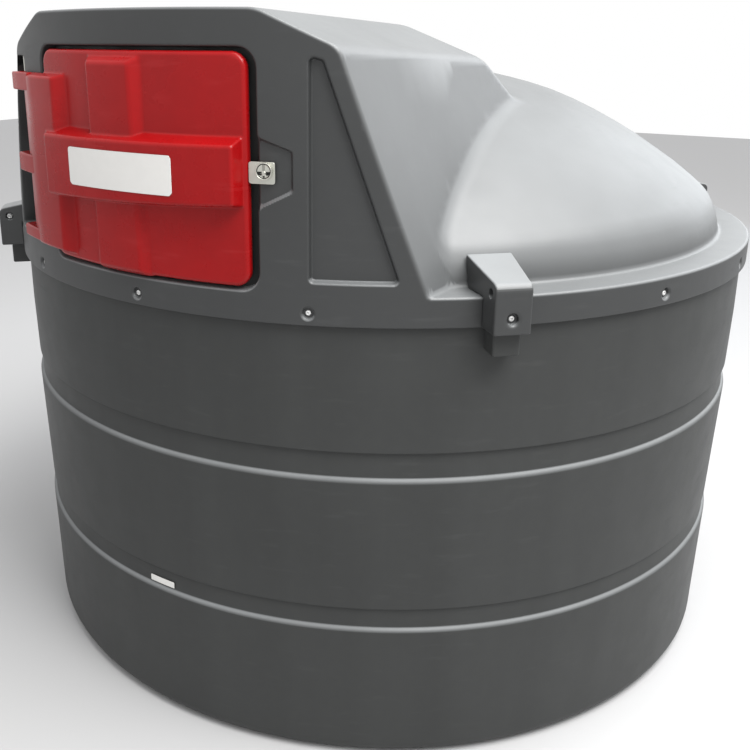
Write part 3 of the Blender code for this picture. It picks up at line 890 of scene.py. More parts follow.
    def sink(self, shell: Shell, outline: Outline | Ring, section: Sequence[Triple],
             floor: bool, dented: bool) -> Array:
        """Adds the edge and floor of one recess.

        Args:
            shell: The shell that gets the patches.
            outline: The recess's outline on the front.
            section: Inset, depth and tilt along its edge.
            floor: Whether the recess has a floor.
            dented: Whether the pocket lowers its lip too.

        Returns:
            The outline's last loop, flat.
        """
        rows, facings = [], []
        for inset, depth, tilt in section:
            flat, inward = outline.loop(inset)
            s, z = flat.T
            azimuth, lean = np.degrees(s / LID_RADIUS), math.radians(tilt)
            radius = self.form.radius(azimuth, z) - self.lowered(s, z, depth, dented) - depth
            out, along = facings_at(azimuth)
            aside = inward[:, 0:1] * along + inward[:, 1:2] * UP
            base = self.front_normal(s, z) if inset == 0.0 else out
            rows.append(polar(azimuth, radius, z))
            facings.append(unit(base * math.cos(lean) + aside * math.sin(lean)))
        shell.add_grid(np.stack(rows), np.stack(facings), closed=True)
        inset, depth, _ = section[-1]
        last, _ = outline.loop(inset)
        if floor:
            low, high, step = last.min(axis=0), last.max(axis=0), self.floor_grid
            free = grid_points(*(np.arange(low[i] + step / 2, high[i], step) for i in range(2)))
            smaller, _ = outline.loop(inset + self.floor_margin)
            free = free[within(free, smaller)] if len(free) else free
            flat = np.concatenate([last, free])
            triangles = joined(flat, ring_edges(0, len(last)))
            triangles = triangles[within(flat[triangles].mean(axis=1), last)]
            s, z = flat.T
            azimuth = np.degrees(s / LID_RADIUS)
            radius = self.form.radius(azimuth, z) - depth - self.lowered(s, z, depth, dented)
            shell.add(polar(azimuth, radius, z), facings_at(azimuth)[0], triangles)
        return last

    def skirt_outlines(self) -> list[tuple[Outline | Ring, Sequence[Triple], bool, bool]]:
        """Every recess: its outline, its section, whether it has a floor, whether the pocket lowers it.

        Returns:
            One row for each recess, the opening first.
        """
        found = []
        for recess in self.recesses:
            depth = LID_RADIUS - self.inner_radius if recess.depth is None else recess.depth
            section = lip(depth, recess.top, recess.foot, recess.wall)
            outline = Outline(placed(recess.corners), recess.corner)
            found.append((outline, section, recess.depth is not None, recess.dented))
        for azimuth in self.well_azimuths:
            found.append((Ring((arc(azimuth), self.well_z), self.well_radius), self.well_steps, True, False))
        return found

    def free_points(self, s_edge: Array, edge: Array, top: Array) -> Array:
        """The skirt's inner points, clear of its upper edge and closer together round the pocket.

        Args:
            s_edge: Arc lengths along the upper edge.
            edge: The upper edge's heights.
            top: The upper edge's points.

        Returns:
            Points (n, 2), laid out flat.
        """
        skirt_s = np.radians(np.arange(self.seam + self.skirt_step, 360.0 + self.seam, self.skirt_step))
        skirt_grid = grid_points(skirt_s * LID_RADIUS, np.array(self.skirt_levels))
        step_s, step_z = self.sheet_grid
        front_grid = grid_points(np.arange(-self.sheet_half, self.sheet_half, step_s),
                                 np.arange(*self.sheet_heights, step_z))
        free = np.concatenate([skirt_grid, front_grid])
        away, under = self.edge_clear
        gap = np.min(np.hypot(free[:, 0:1] - top[:, 0], free[:, 1:2] - top[:, 1]), axis=1)
        free = free[(gap > away) & (free[:, 1] < np.interp(free[:, 0], s_edge, edge) - under)]
        beside = self.pocket_form(free[:, 0], free[:, 1])
        beside = (beside > self.pocket_clear[0]) & (beside < self.pocket_clear[1])
        free = free[~(beside & (free > self.pocket_from).all(axis=1))]
        across, up, step = self.pocket_grid
        pocket_grid = grid_points(np.arange(*across, step), np.arange(*up, step))
        inside = self.pocket_form(pocket_grid[:, 0], pocket_grid[:, 1])
        start, margin = self.pocket_band
        pocket_grid = pocket_grid[(inside > start) & (inside < self.pocket_wall + margin)]
        offsets = self.edge_rows(top)
        free = np.concatenate([free, *offsets, pocket_grid])
        return free[(free[:, 0] > s_edge[0] + self.side_clear) & (free[:, 0] < s_edge[-1] - self.side_clear)]

    def edge_rows(self, top: Array) -> list[Array]:
        """Rows of points that follow the skirt's upper edge.

        Args:
            top: The upper edge's points.

        Returns:
            One array of points for each row.
        """
        tangent = unit(np.gradient(top, axis=0))
        inward = np.stack([tangent[:, 1], -tangent[:, 0]], axis=1)
        return [top + inward * row for row in self.rows[:-1]]

    def build_skirt(self) -> Piece:
        """Makes the closed skirt: the cylinder with the cabinet's front, its recesses and its inside.

        Returns:
            The object.
        """
        shell = Shell()
        azimuth, radius, edge_height = self.shared_edge()
        inner = self.closing_strip(shell)
        opened = np.where(azimuth > 360.0 + self.seam + TINY, azimuth - 360.0, azimuth)
        order = np.argsort(opened)
        opened, edge = opened[order], edge_height[order]
        opened, edge = np.concatenate([[self.seam], opened]), np.concatenate([[edge[-1]], edge])
        s_edge = np.radians(opened) * LID_RADIUS
        top = np.stack([s_edge, edge], axis=1)
        bottom = np.stack([s_edge, np.full(len(s_edge), self.edge)], axis=1)
        levels = np.array(self.skirt_levels)
        borders = [np.stack([np.full(len(levels), s_edge[k]), levels], axis=1) for k in (0, -1)]

        outlines = self.skirt_outlines()
        loops, edges, count = [], [], 0
        for outline, section, _, _ in outlines:
            loop, _ = outline.loop(section[0][0])
            edges += ring_edges(count, len(loop))
            loops.append(loop)
            count += len(loop)
        fixed = np.concatenate([*loops, top, bottom, *borders])
        edges += [(count + k, count + k + 1) for k in range(len(top) - 1)]

        free = self.free_points(s_edge, edge, top)
        for outline, _, _, _ in outlines:
            wider, _ = outline.loop(self.recess_clear)
            free = free[~within(free, wider)]
        ends = np.concatenate([row[[0, -1]] for row in self.edge_rows(top)])
        ends[:, 0] = np.where(ends[:, 0] < 0, s_edge[0], s_edge[-1])
        flat = np.concatenate([fixed, free, ends])
        triangles = joined(flat, edges)
        middle = flat[triangles].mean(axis=1)
        keep = middle[:, 1] < np.interp(middle[:, 0], s_edge, edge)
        for loop in loops:
            near = keep & (middle[:, 0] > loop[:, 0].min()) & (middle[:, 0] < loop[:, 0].max())
            keep[near] &= ~within(middle[near], loop)
        points = self.front_point(flat[:, 0], flat[:, 1])
        points[count:count + len(top)] = polar(opened, radius, edge)
        points[count] = points[count + len(top) - 1]
        shell.add(points, self.front_normal(flat[:, 0], flat[:, 1]), triangles[keep])
        hole = [self.sink(shell, *row) for row in outlines][0]
        self.add_inside(shell, azimuth, inner, hole)
        return shell.build("lid_skirt", LID_Z, self.weld)

    def add_inside(self, shell: Shell, azimuth: Array, inner: Array, hole: Array) -> None:
        """Adds the cabinet front's inner wall round the door opening, and the skirt's underside.

        Args:
            shell: The shell that gets it.
            azimuth: The stations round the lid.
            inner: The inner edge's heights there.
            hole: The opening's inner loop.
        """
        under = LEDGE_Z - self.skin
        front = azimuth < self.front_half + TINY
        s, high = np.radians(azimuth[front]) * LID_RADIUS, inner[front]
        low = np.full(len(s), under)
        flat = np.concatenate([hole, np.stack([s, high], axis=1), np.stack([s, low], axis=1)])
        edges = ring_edges(0, len(hole))
        edges += [(len(hole) + k, len(hole) + k + 1) for k in range(len(s) - 1)]
        triangles = joined(flat, edges)
        middle = flat[triangles].mean(axis=1)
        keep = (middle[:, 1] < np.interp(middle[:, 0], s, high)) & ~within(middle, hole)
        angle = np.degrees(flat[:, 0] / LID_RADIUS)
        points = polar(angle, self.inner_radius, flat[:, 1])
        shell.add(points, -polar(angle, 1.0, 0.0), triangles[keep])

        section = [(self.inner_radius, under, 0.0, -1.0), (self.skirt_inner, under, 0.0, -1.0),
                   (self.skirt_inner, under, -1.0, 0.0), (self.skirt_inner, self.foot_edge, -1.0, 0.0),
                   (self.skirt_inner + self.foot_edge, 0.0, 0.0, -1.0)]
        for k in range(self.edge_steps + 1):
            t = math.pi / 2 * k / self.edge_steps
            reach, drop = self.edge * math.sin(t), self.edge * (1 - math.cos(t))
            section.append((LID_RADIUS - self.edge + reach, drop, math.sin(t), -math.cos(t)))
        rows = np.stack([polar(azimuth, r, z) for r, z, _, _ in section])
        facings = np.stack([polar(azimuth, out, up) for _, _, out, up in section])
        shell.add_grid(rows, facings, closed=True)


def turn_between(before: Array, after: Array) -> float:
    """The angle from one direction in a plane to another."""
    return math.atan2(before[0] * after[1] - before[1] * after[0], float(before @ after))


def rounded_path(corners: Sequence[Triple], steps: int = 6,
                 longest: float = 0.06) -> tuple[Array, Array]:
    """A closed section with rounded corners, anticlockwise, for turning round the axis.

    Args:
        corners: Radius, height and round of each corner.
        steps: Steps along each round.
        longest: Longer straight lengths are divided.

    Returns:
        The section's points and outward normals, the first of them once more at the end.
    """
    points, normals = [], []
    places = np.array([corner[:2] for corner in corners])
    count = len(corners)
    for k in range(count):
        before, after = unit(places[k] - places[k - 1]), unit(places[(k + 1) % count] - places[k])
        n0, n1 = np.array([before[1], -before[0]]), np.array([after[1], -after[0]])
        turn, size = turn_between(before, after), corners[k][2]
        if size == 0.0 or abs(turn) < STRAIGHT:
            points += [places[k], places[k]]
            normals += [n0, n1]
        else:
            side = math.copysign(1.0, turn)
            start = places[k] - before * size * math.tan(abs(turn) / 2)
            centre = start - n0 * size * side
            for j in range(steps + 1):
                t = turn * j / steps
                facing = np.array([n0[0] * math.cos(t) - n0[1] * math.sin(t),
                                   n0[0] * math.sin(t) + n0[1] * math.cos(t)])
                points.append(centre + facing * size * side)
                normals.append(facing)
        following = (k + 1) % count
        turn = turn_between(after, unit(places[(following + 1) % count] - places[following]))
        end = places[following] - after * corners[following][2] * math.tan(abs(turn) / 2)
        start = points[-1]
        pieces = int(np.linalg.norm(end - start) / longest)
        for j in range(1, pieces + 1):
            points.append(start + (end - start) * j / (pieces + 1))
            normals.append(n1)
    return np.array([*points, points[0]]), np.array([*normals, normals[0]])


def turned(name: str, corners: Sequence[Triple], sides: int, wobble: float = 0.0,
           longest: float = 0.06) -> Piece:
    """Turns a closed rounded section round the tank's axis.

    Args:
        name: The piece's name.
        corners: The section's corners.
        sides: Facets round the axis.
        wobble: How far the moulding's waviness moves the surface.
        longest: Longer straight lengths of the section are divided.

    Returns:
        The object.
    """
    points, normals = rounded_path(corners, longest=longest)
    azimuth = np.arange(sides)[None, :] * 360.0 / sides
    turn, z = np.radians(azimuth), points[:, 1:]
    wave = sum(share * np.sin(around * turn + upward * z + start) for share, around, upward, start in WAVES)
    radius = points[:, :1] + wobble * wave / sum(share for share, *_ in WAVES)
    step = np.radians(360.0 / sides)
    lean = -(np.roll(radius, -1, axis=1) - np.roll(radius, 1, axis=1)) / (2 * step * np.maximum(radius, TINY))
    _, along = facings_at(azimuth + 0 * radius)
    facings = polar(azimuth, normals[:, :1], normals[:, 1:]) + along * (lean * normals[:, :1])[..., None]
    shell = Shell()
    shell.add_grid(polar(azimuth, radius, z), unit(facings), closed=True)
    return shell.build(name)


@dataclass
class TankWall:
    """The round wall with its two recessed bands and its rounded foot."""

    sides: int = 288
    wobble: float = 0.0005
    segments: int = 8
    section: tuple[Triple, ...] = (
        (1.118, 0.0, 0.041), (1.1270, 0.3845, 0.012), (1.1182, 0.3905, 0.005), (1.1150, 0.4425, 0.003),
        (1.1225, 0.4445, 0.003), (1.1345, 0.8000, 0.014), (1.1255, 0.8068, 0.005), (1.1225, 0.8705, 0.003),
        (1.1316, 0.8730, 0.003), (1.1358, 1.0400, 0.3), (1.1358, 1.2444, 0.002), (1.1240, 1.2444, 0.002),
        (1.1145, 0.8600, 0.0), (1.1070, 0.4400, 0.0), (1.1060, 0.0530, 0.02), (1.0690, 0.0, 0.002))

    def build(self) -> Piece:
        """Makes the wall, which stands for the eight upright CAD segments.

        Returns:
            The object.
        """
        wall = turned("tank_wall", self.section, self.sides, self.wobble)
        for k in range(self.segments):
            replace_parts(wall, f"tank_wall_{k + 1}")
        return wall


def outside_all(q: Array, edge: float) -> Array:
    """Distance outside a shape, from the distances past its faces and the round of its edges."""
    q = q + edge
    return np.linalg.norm(np.maximum(q, 0.0), axis=1) + np.minimum(q.max(axis=1), 0.0) - edge


def outside_any(*distances: Array) -> Array:
    """The largest of several distances, which is the distance outside what the shapes share."""
    return np.maximum.reduce(distances)


def rounded_box(p: Array, low: Sequence[float], high: Sequence[float], edge: float) -> Array:
    """Distance outside a box with rounded edges."""
    low, high = np.asarray(low), np.asarray(high)
    return outside_all(np.abs(p - (low + high) / 2) - (high - low) / 2, edge)


def rounded_plate(p: Array, low: Sequence[float], high: Sequence[float], corner: float,
                  edge: float) -> Array:
    """Distance outside a plate with rounded corners in its first two directions and rounded edges.

    Args:
        p: Points in the plate's own directions.
        low: Its lower corner.
        high: Its upper corner.
        corner: Radius of its corners.
        edge: Radius of its edges.

    Returns:
        One distance for each point.
    """
    low, high = np.asarray(low), np.asarray(high)
    q = np.abs(p - (low + high) / 2) - (high - low) / 2
    return outside_all(np.stack([outside_all(q[:, :2], corner), q[:, 2]], axis=1), edge)


def outside_polygon(flat: Array, corners: Array) -> Array:
    """Signed distance to a polygon, negative inside.

    Args:
        flat: Points (n, 2).
        corners: The polygon's corners in order.

    Returns:
        One distance for each point.
    """
    nearest = np.full(len(flat), np.inf)
    for a, b in zip(corners, np.roll(corners, -1, axis=0)):
        run = b - a
        t = np.clip(((flat - a) @ run) / (run @ run), 0.0, 1.0)
        nearest = np.minimum(nearest, np.linalg.norm(flat - a - t[:, None] * run, axis=1))
    return np.where(within(flat, corners), -nearest, nearest)


def shrunk(corners: Sequence[Pair], inset: float) -> Array:
    """An anticlockwise polygon drawn further in.

    Args:
        corners: Its corners.
        inset: How far in.

    Returns:
        The new corners.
    """
    corners = np.array(corners, float)
    inward = inward_of(corners)
    before = np.roll(inward, 1, axis=0)
    share = 1 + (before * inward).sum(axis=1, keepdims=True)
    return corners + (before + inward) * inset / share


def add_bent(shell: Shell, form: Form, low: Sequence[float], high: Sequence[float],
             step: Sequence[float]) -> None:
    """Meshes a form laid out flat and adds it bent round the lid."""
    points, normals, triangles = net_of(form, low, high, step)
    shell.add(*bent(points, normals), triangles)


def add_framed(shell: Shell, form: Form, low: Sequence[float], high: Sequence[float], step: float,
               azimuth: float) -> None:
    """Meshes a form given sideways, outwards and upwards, and adds it at an azimuth.

    Args:
        shell: The shell that gets it.
        form: The distance function.
        low: Lower corner of the space searched.
        high: Upper corner.
        step: The cells' size.
        azimuth: Where it stands, in degrees.
    """
    points, normals, triangles = net_of(form, low, high, (step, step, step))
    out, along = facings_at(azimuth)
    axes = np.stack([along, out, UP])
    shell.add(points @ axes, normals @ axes, triangles)


def add_plate(shell: Shell, low: Sequence[float], high: Sequence[float], corner: float, edge: float,
              step: Sequence[float], by: Sequence[float]) -> None:
    """Adds a plate with rounded corners, bent round the lid.

    Args:
        shell: The shell that gets it.
        low: Its lower corner, laid out flat.
        high: Its upper corner.
        corner: The round of its four corners.
        edge: The round of its edges.
        step: The cells' size along each axis.
        by: The space round it that is searched too.
    """
    add_bent(shell, lambda p: rounded_plate(p, low, high, corner, edge), *padded(low, high, *by), step)


@dataclass(frozen=True)
class Bar:
    """A bar raised on the door: azimuths of its foot and face, and bevel and rise at its two ends."""

    foot: Pair
    face: Pair
    span: Pair
    bevel: Pair
    rise: Pair
    blend: float = 0.0065
    edge_rise: float = 0.004

    def outside(self, p: Array, base: float) -> Array:
        """Distance outside the bar.

        Args:
            p: Points laid out flat.
            base: Distance of the door's face, on which the bar stands, from the lid's radius.

        Returns:
            One distance for each point.
        """
        u, v, w = p.T
        share = np.clip((v - self.span[0]) / (self.span[1] - self.span[0]), 0.0, 1.0)
        rise = self.rise[0] + (self.rise[1] - self.rise[0]) * share
        low, wall = base + self.edge_rise, max(self.rise) - self.edge_rise
        foot, face = [arc(a) for a in self.foot], [arc(a) for a in self.face]
        left, right = face[0] - foot[0], foot[1] - face[1]
        flank_left = (-(u - foot[0]) * wall + (w - low) * left) / math.hypot(wall, left)
        flank_right = ((u - foot[1]) * wall + (w - low) * right) / math.hypot(wall, right)
        (start, end), (at_start, at_end) = self.span, self.bevel
        lower = ((start - v) * wall + (w - low) * at_start) / math.hypot(wall, at_start)
        upper = ((v - end) * wall + (w - low) * at_end) / math.hypot(wall, at_end)
        found = smooth_max(w - base - rise, smooth_max(flank_left, flank_right, self.blend), self.blend)
        return smooth_max(found, smooth_max(lower, upper, self.blend), self.blend)


@dataclass
class Door:
    """The red moulded door with its raised bars, knuckles, blank plate and lock."""

    half_width: float = arc(15.9)
    span: Pair = (0.081, 0.592)
    depth: Pair = (-0.023, 0.005)
    corner: float = 0.036
    edge: float = 0.0105
    fill: float = 0.005
    rib: Bar = Bar((-5.4, 2.5), (-4.95, 1.7), (0.083, 0.577), (0.010, 0.012), (0.016, 0.021))
    hinge_bar: Bar = Bar((-22.2, -10.7), (-17.9, -11.6), (0.098, 0.534), (0.006, 0.007), (0.026, 0.026))
    handle: Bar = Bar((-14.4, 15.35), (-13.2, 14.95), (0.251, 0.417), (0.007, 0.015), (0.040, 0.040),
                      0.007)
    handle_run: Pair = (-0.26, 0.30)
    handle_curve: float = 1.3
    handle_sag: Pair = (-0.008, 0.004)
    handle_taper: float = 0.10
    overhang_back: float = 0.0058
    overhang_blend: float = 0.003
    panel_inset: float = 0.006
    reach: float = 0.048
    margin: Triple = (0.010, 0.010, 0.008)
    step: Triple = (0.0032, 0.0032, 0.0025)
    knuckle_z: tuple[Pair, ...] = ((0.489, 0.534), (0.280, 0.328), (0.105, 0.136))
    knuckle_radius: float = 0.0155
    knuckle_outline: tuple[Pair, ...] = (
        (-0.0185, 0.0), (0.0150, 0.0), (0.0165, 0.0178), (0.1100, 0.0178), (0.1100, 0.0385),
        (-0.0065, 0.0385), (-0.0135, 0.0240))
    knuckle_round: float = 0.004
    knuckle_end: float = 0.005
    knuckle_around: tuple[Pair, Pair, float] = (
        (-0.023, 0.113), (-0.021, 0.042), 0.004)
    knuckle_step: Triple = (0.0018, 0.0024, 0.0018)
    bore: float = 0.0077
    bore_edge: float = 0.0012
    rod_place: Pair = (arc(-23.8), -0.012)
    rod_radius: float = 0.007
    rod_edge: float = 0.0015
    rod_span: Pair = (0.0955, 0.5765)
    rod_sides: int = 28
    plate_half: float = arc(7.8)
    plate_span: Pair = (0.283, 0.374)
    plate_depth: Pair = (0.0004, 0.0019)
    plate_rounds: Pair = (0.010, 0.0006)
    plate_step: Triple = (0.0035, 0.0035, 0.0005)
    plate_margin: Triple = (0.006, 0.006, 0.0012)

    def moulding(self, p: Array) -> Array:
        """Distance outside the door's one moulding.

        Args:
            p: Points laid out flat: arc length, height, distance outside the lid's radius.

        Returns:
            One distance for each point.
        """
        u, _, w = p.T
        panel = rounded_plate(p, (-self.half_width, self.span[0], self.depth[0]),
                              (self.half_width, self.span[1], self.depth[1]), self.corner, self.edge)
        base = self.depth[1]
        hinge = self.hinge_bar.outside(p, base)
        over = smooth_max(hinge, self.overhang_back - w, self.overhang_blend)
        on_panel = outside_any(hinge, self.panel_inset - self.half_width - u, -w)
        bars = smooth_min(np.minimum(over, on_panel), np.maximum(self.rib.outside(p, base), -w), self.fill)
        start, end = self.handle_run
        along = np.clip((u - start) / (end - start), 0.0, 1.0) ** self.handle_curve
        middle = sum(self.handle.span) / 2
        sag = self.handle_sag[0] + (self.handle_sag[1] - self.handle_sag[0]) * along
        swept = p.copy()
        swept[:, 1] = middle + (p[:, 1] - middle - sag) / (1 - self.handle_taper * along)
        bars = smooth_min(bars, np.maximum(self.handle.outside(swept, base), -w), self.fill)
        return smooth_min(panel, bars, self.fill)

    def knuckle(self, p: Array) -> Array:
        """Distance outside the three knuckles and their arms, which reach under the hinge bar.

        Args:
            p: Points laid out flat: arc length, height, distance outside the lid's radius.

        Returns:
            One distance for each point.
        """
        across, out = p[:, 0] - self.rod_place[0], p[:, 2] - self.rod_place[1]
        away = np.hypot(across, out)
        block = outside_polygon(np.stack([across, out], axis=1),
                                shrunk(self.knuckle_outline, self.knuckle_round))
        shape = smooth_min(away - self.knuckle_radius, block - self.knuckle_round, self.knuckle_round)
        ends = np.minimum.reduce([np.abs(p[:, 1] - (low + high) / 2) - (high - low) / 2
                                  for low, high in self.knuckle_z])
        return smooth_max(smooth_max(shape, ends, self.knuckle_end), self.bore - away, self.bore_edge)

    def build_moulding(self) -> Piece:
        """Makes the door's moulding.

        Returns:
            The object.
        """
        shell = Shell()
        low, high = padded((arc(self.hinge_bar.foot[0]), self.span[0], self.depth[0]),
                           (self.half_width, self.span[1], self.reach), *self.margin)
        add_bent(shell, self.moulding, low, high, self.step)
        made = shell.build("door_moulding", LID_Z)
        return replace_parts(made, "door_panel", "door_rib", "door_handle", "door_hinge_bar")

    def build_knuckles(self) -> Piece:
        """Makes the three knuckles.

        Returns:
            The object.
        """
        shell = Shell()
        u, w = self.rod_place
        (left, right), (back, front), margin = self.knuckle_around
        for low, high in self.knuckle_z:
            add_bent(shell, self.knuckle, (u + left, low - margin, w + back),
                     (u + right, high + margin, w + front), self.knuckle_step)
        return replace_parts(shell.build("door_knuckles", LID_Z), "door_hinge_bar")

    def build_plate(self) -> Piece:
        """Makes the blank plate on the handle.

        Returns:
            The object.
        """
        face = self.depth[1] + self.handle.rise[0]
        low = (-self.plate_half, self.plate_span[0], face + self.plate_depth[0])
        high = (self.plate_half, self.plate_span[1], face + self.plate_depth[1])
        shell = Shell()
        add_plate(shell, low, high, *self.plate_rounds, self.plate_step, self.plate_margin)
        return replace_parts(shell.build("door_plate", LID_Z), "name_plate")

    def build_rod(self) -> Piece:
        """Makes the hinge rod in its recess.

        Returns:
            The object.
        """
        (low, high), r, edge = self.rod_span, self.rod_radius, self.rod_edge
        u, w = self.rod_place
        place = polar(np.degrees(u / LID_RADIUS), LID_RADIUS + w, LID_Z)
        rod = turned("hinge_pin", [(0.0, low, 0.0), (r, low, edge), (r, high, edge), (0.0, high, 0.0)],
                     self.rod_sides)
        rod.location = place.tolist()
        bpy.context.view_layer.update()
        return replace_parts(rod, "hinge_rod")


@dataclass
class Lock:
    """The steel plate at the door's free edge and the round turning lock on it."""

    azimuth: float = 17.8
    z: float = 0.344
    radius: float = 0.019
    seat: float = 0.0008
    thickness: float = 0.009
    step: float = 0.0007
    margin: float = 0.003
    disc_back: float = 0.002
    hasp_low: Triple = (arc(15.92), 0.315, -0.0025)
    hasp_high: Triple = (arc(18.95), 0.363, 0.0005)
    hasp_rounds: Pair = (0.006, 0.0008)
    hasp_step: Triple = (0.0014, 0.0014, 0.0008)
    hasp_margin: Triple = (0.004, 0.004, 0.002)
    face_drop: float = 0.0016
    face_blend: float = 0.0012
    rim_line: Triple = (0.0013, 0.0012, 0.0008)
    knob_drop: float = 0.004
    knob_size: Triple = (0.0042, 0.0002, 0.0010)
    knob_fill: float = 0.0006
    # Cuts in the face, mirrored in x: lowest and highest x and z, and the round of their edges.
    cuts: tuple[tuple[float, float, float, float, float], ...] = (
        (0.0046, 0.0140, -0.0092, -0.0012, 0.0006),
        (0.0008, 0.0020, 0.001, 0.0140, 0.0003),
        (-0.0022, 0.0022, -0.0140, -0.0102, 0.0004))
    cut_depths: Pair = (0.0008, 0.020)
    groove: Pair = (0.0036, 0.0009)
    core_inset: float = 0.0015
    core_middle: float = 0.0018
    core_half: float = 0.0012
    core_edge: float = 0.0005
    core_around: Pair = (0.001, 0.005)

    def build_hasp(self) -> Piece:
        """Makes the plate under the lock.

        Returns:
            The object.
        """
        shell = Shell()
        add_plate(shell, self.hasp_low, self.hasp_high, *self.hasp_rounds, self.hasp_step, self.hasp_margin)
        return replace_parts(shell.build("lock_plate", LID_Z), "lock_hasp")

    def disc(self, p: Array) -> Array:
        """Distance outside the lock: sideways, outwards from its seat, upwards from its centre.

        Args:
            p: Points from the middle of the lock's seat.

        Returns:
            One distance for each point.
        """
        x, out, z = p.T
        r = np.hypot(x, z)
        top = out - self.thickness
        body = smooth_max(r - self.radius, np.maximum(top + self.face_drop, -out), self.face_blend)
        inset, half, edge = self.rim_line
        rim = smooth_max(np.abs(r - self.radius + inset) - half, np.maximum(top, -out), edge)
        size, rise, edge = self.knob_size
        knob = smooth_max(np.hypot(x, z + self.knob_drop) - size, np.maximum(top - rise, -out), edge)
        shape = smooth_min(np.minimum(body, rim), knob, self.knob_fill)
        mirrored = np.stack([np.abs(x), out, z], axis=1)
        deep, over = self.cut_depths
        inset, half = self.groove
        cut = np.maximum(np.abs(r - self.radius + inset) - half, deep - out)
        for x0, x1, z0, z1, edge in self.cuts:
            cut = np.minimum(cut, rounded_box(mirrored, (x0, deep, z0), (x1, over, z1), edge))
        return np.maximum(shape, -cut)

    def build_disc(self) -> Piece:
        """Makes the round lock.

        Returns:
            The object.
        """
        base = LID_RADIUS + self.seat
        shell = Shell()
        middle, half = np.array([0.0, base, self.z]), self.radius + self.margin
        add_framed(shell, lambda p: self.disc(p - middle), middle - (half, self.disc_back, half),
                   middle + (half, self.thickness + self.margin, half), self.step, self.azimuth)
        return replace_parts(shell.build("lock_disc", LID_Z), "lock_knob")

    def build_core(self) -> Piece:
        """Makes the dark core that shows in the lock's slots.

        Returns:
            The object.
        """
        base, size = LID_RADIUS + self.seat, self.radius - self.core_inset

        def core(p: Array) -> Array:
            """Distance outside the core, a thin round slice."""
            slab = np.abs(p[:, 1] - base - self.core_middle) - self.core_half
            return smooth_max(np.hypot(p[:, 0], p[:, 2] - self.z) - size, slab, self.core_edge)

        shell = Shell()
        before, beyond = self.core_around
        add_framed(shell, core, (-self.radius, base - before, self.z - self.radius),
                   (self.radius, base + beyond, self.z + self.radius), self.step, self.azimuth)
        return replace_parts(shell.build("lock_core", LID_Z), "lock_knob")


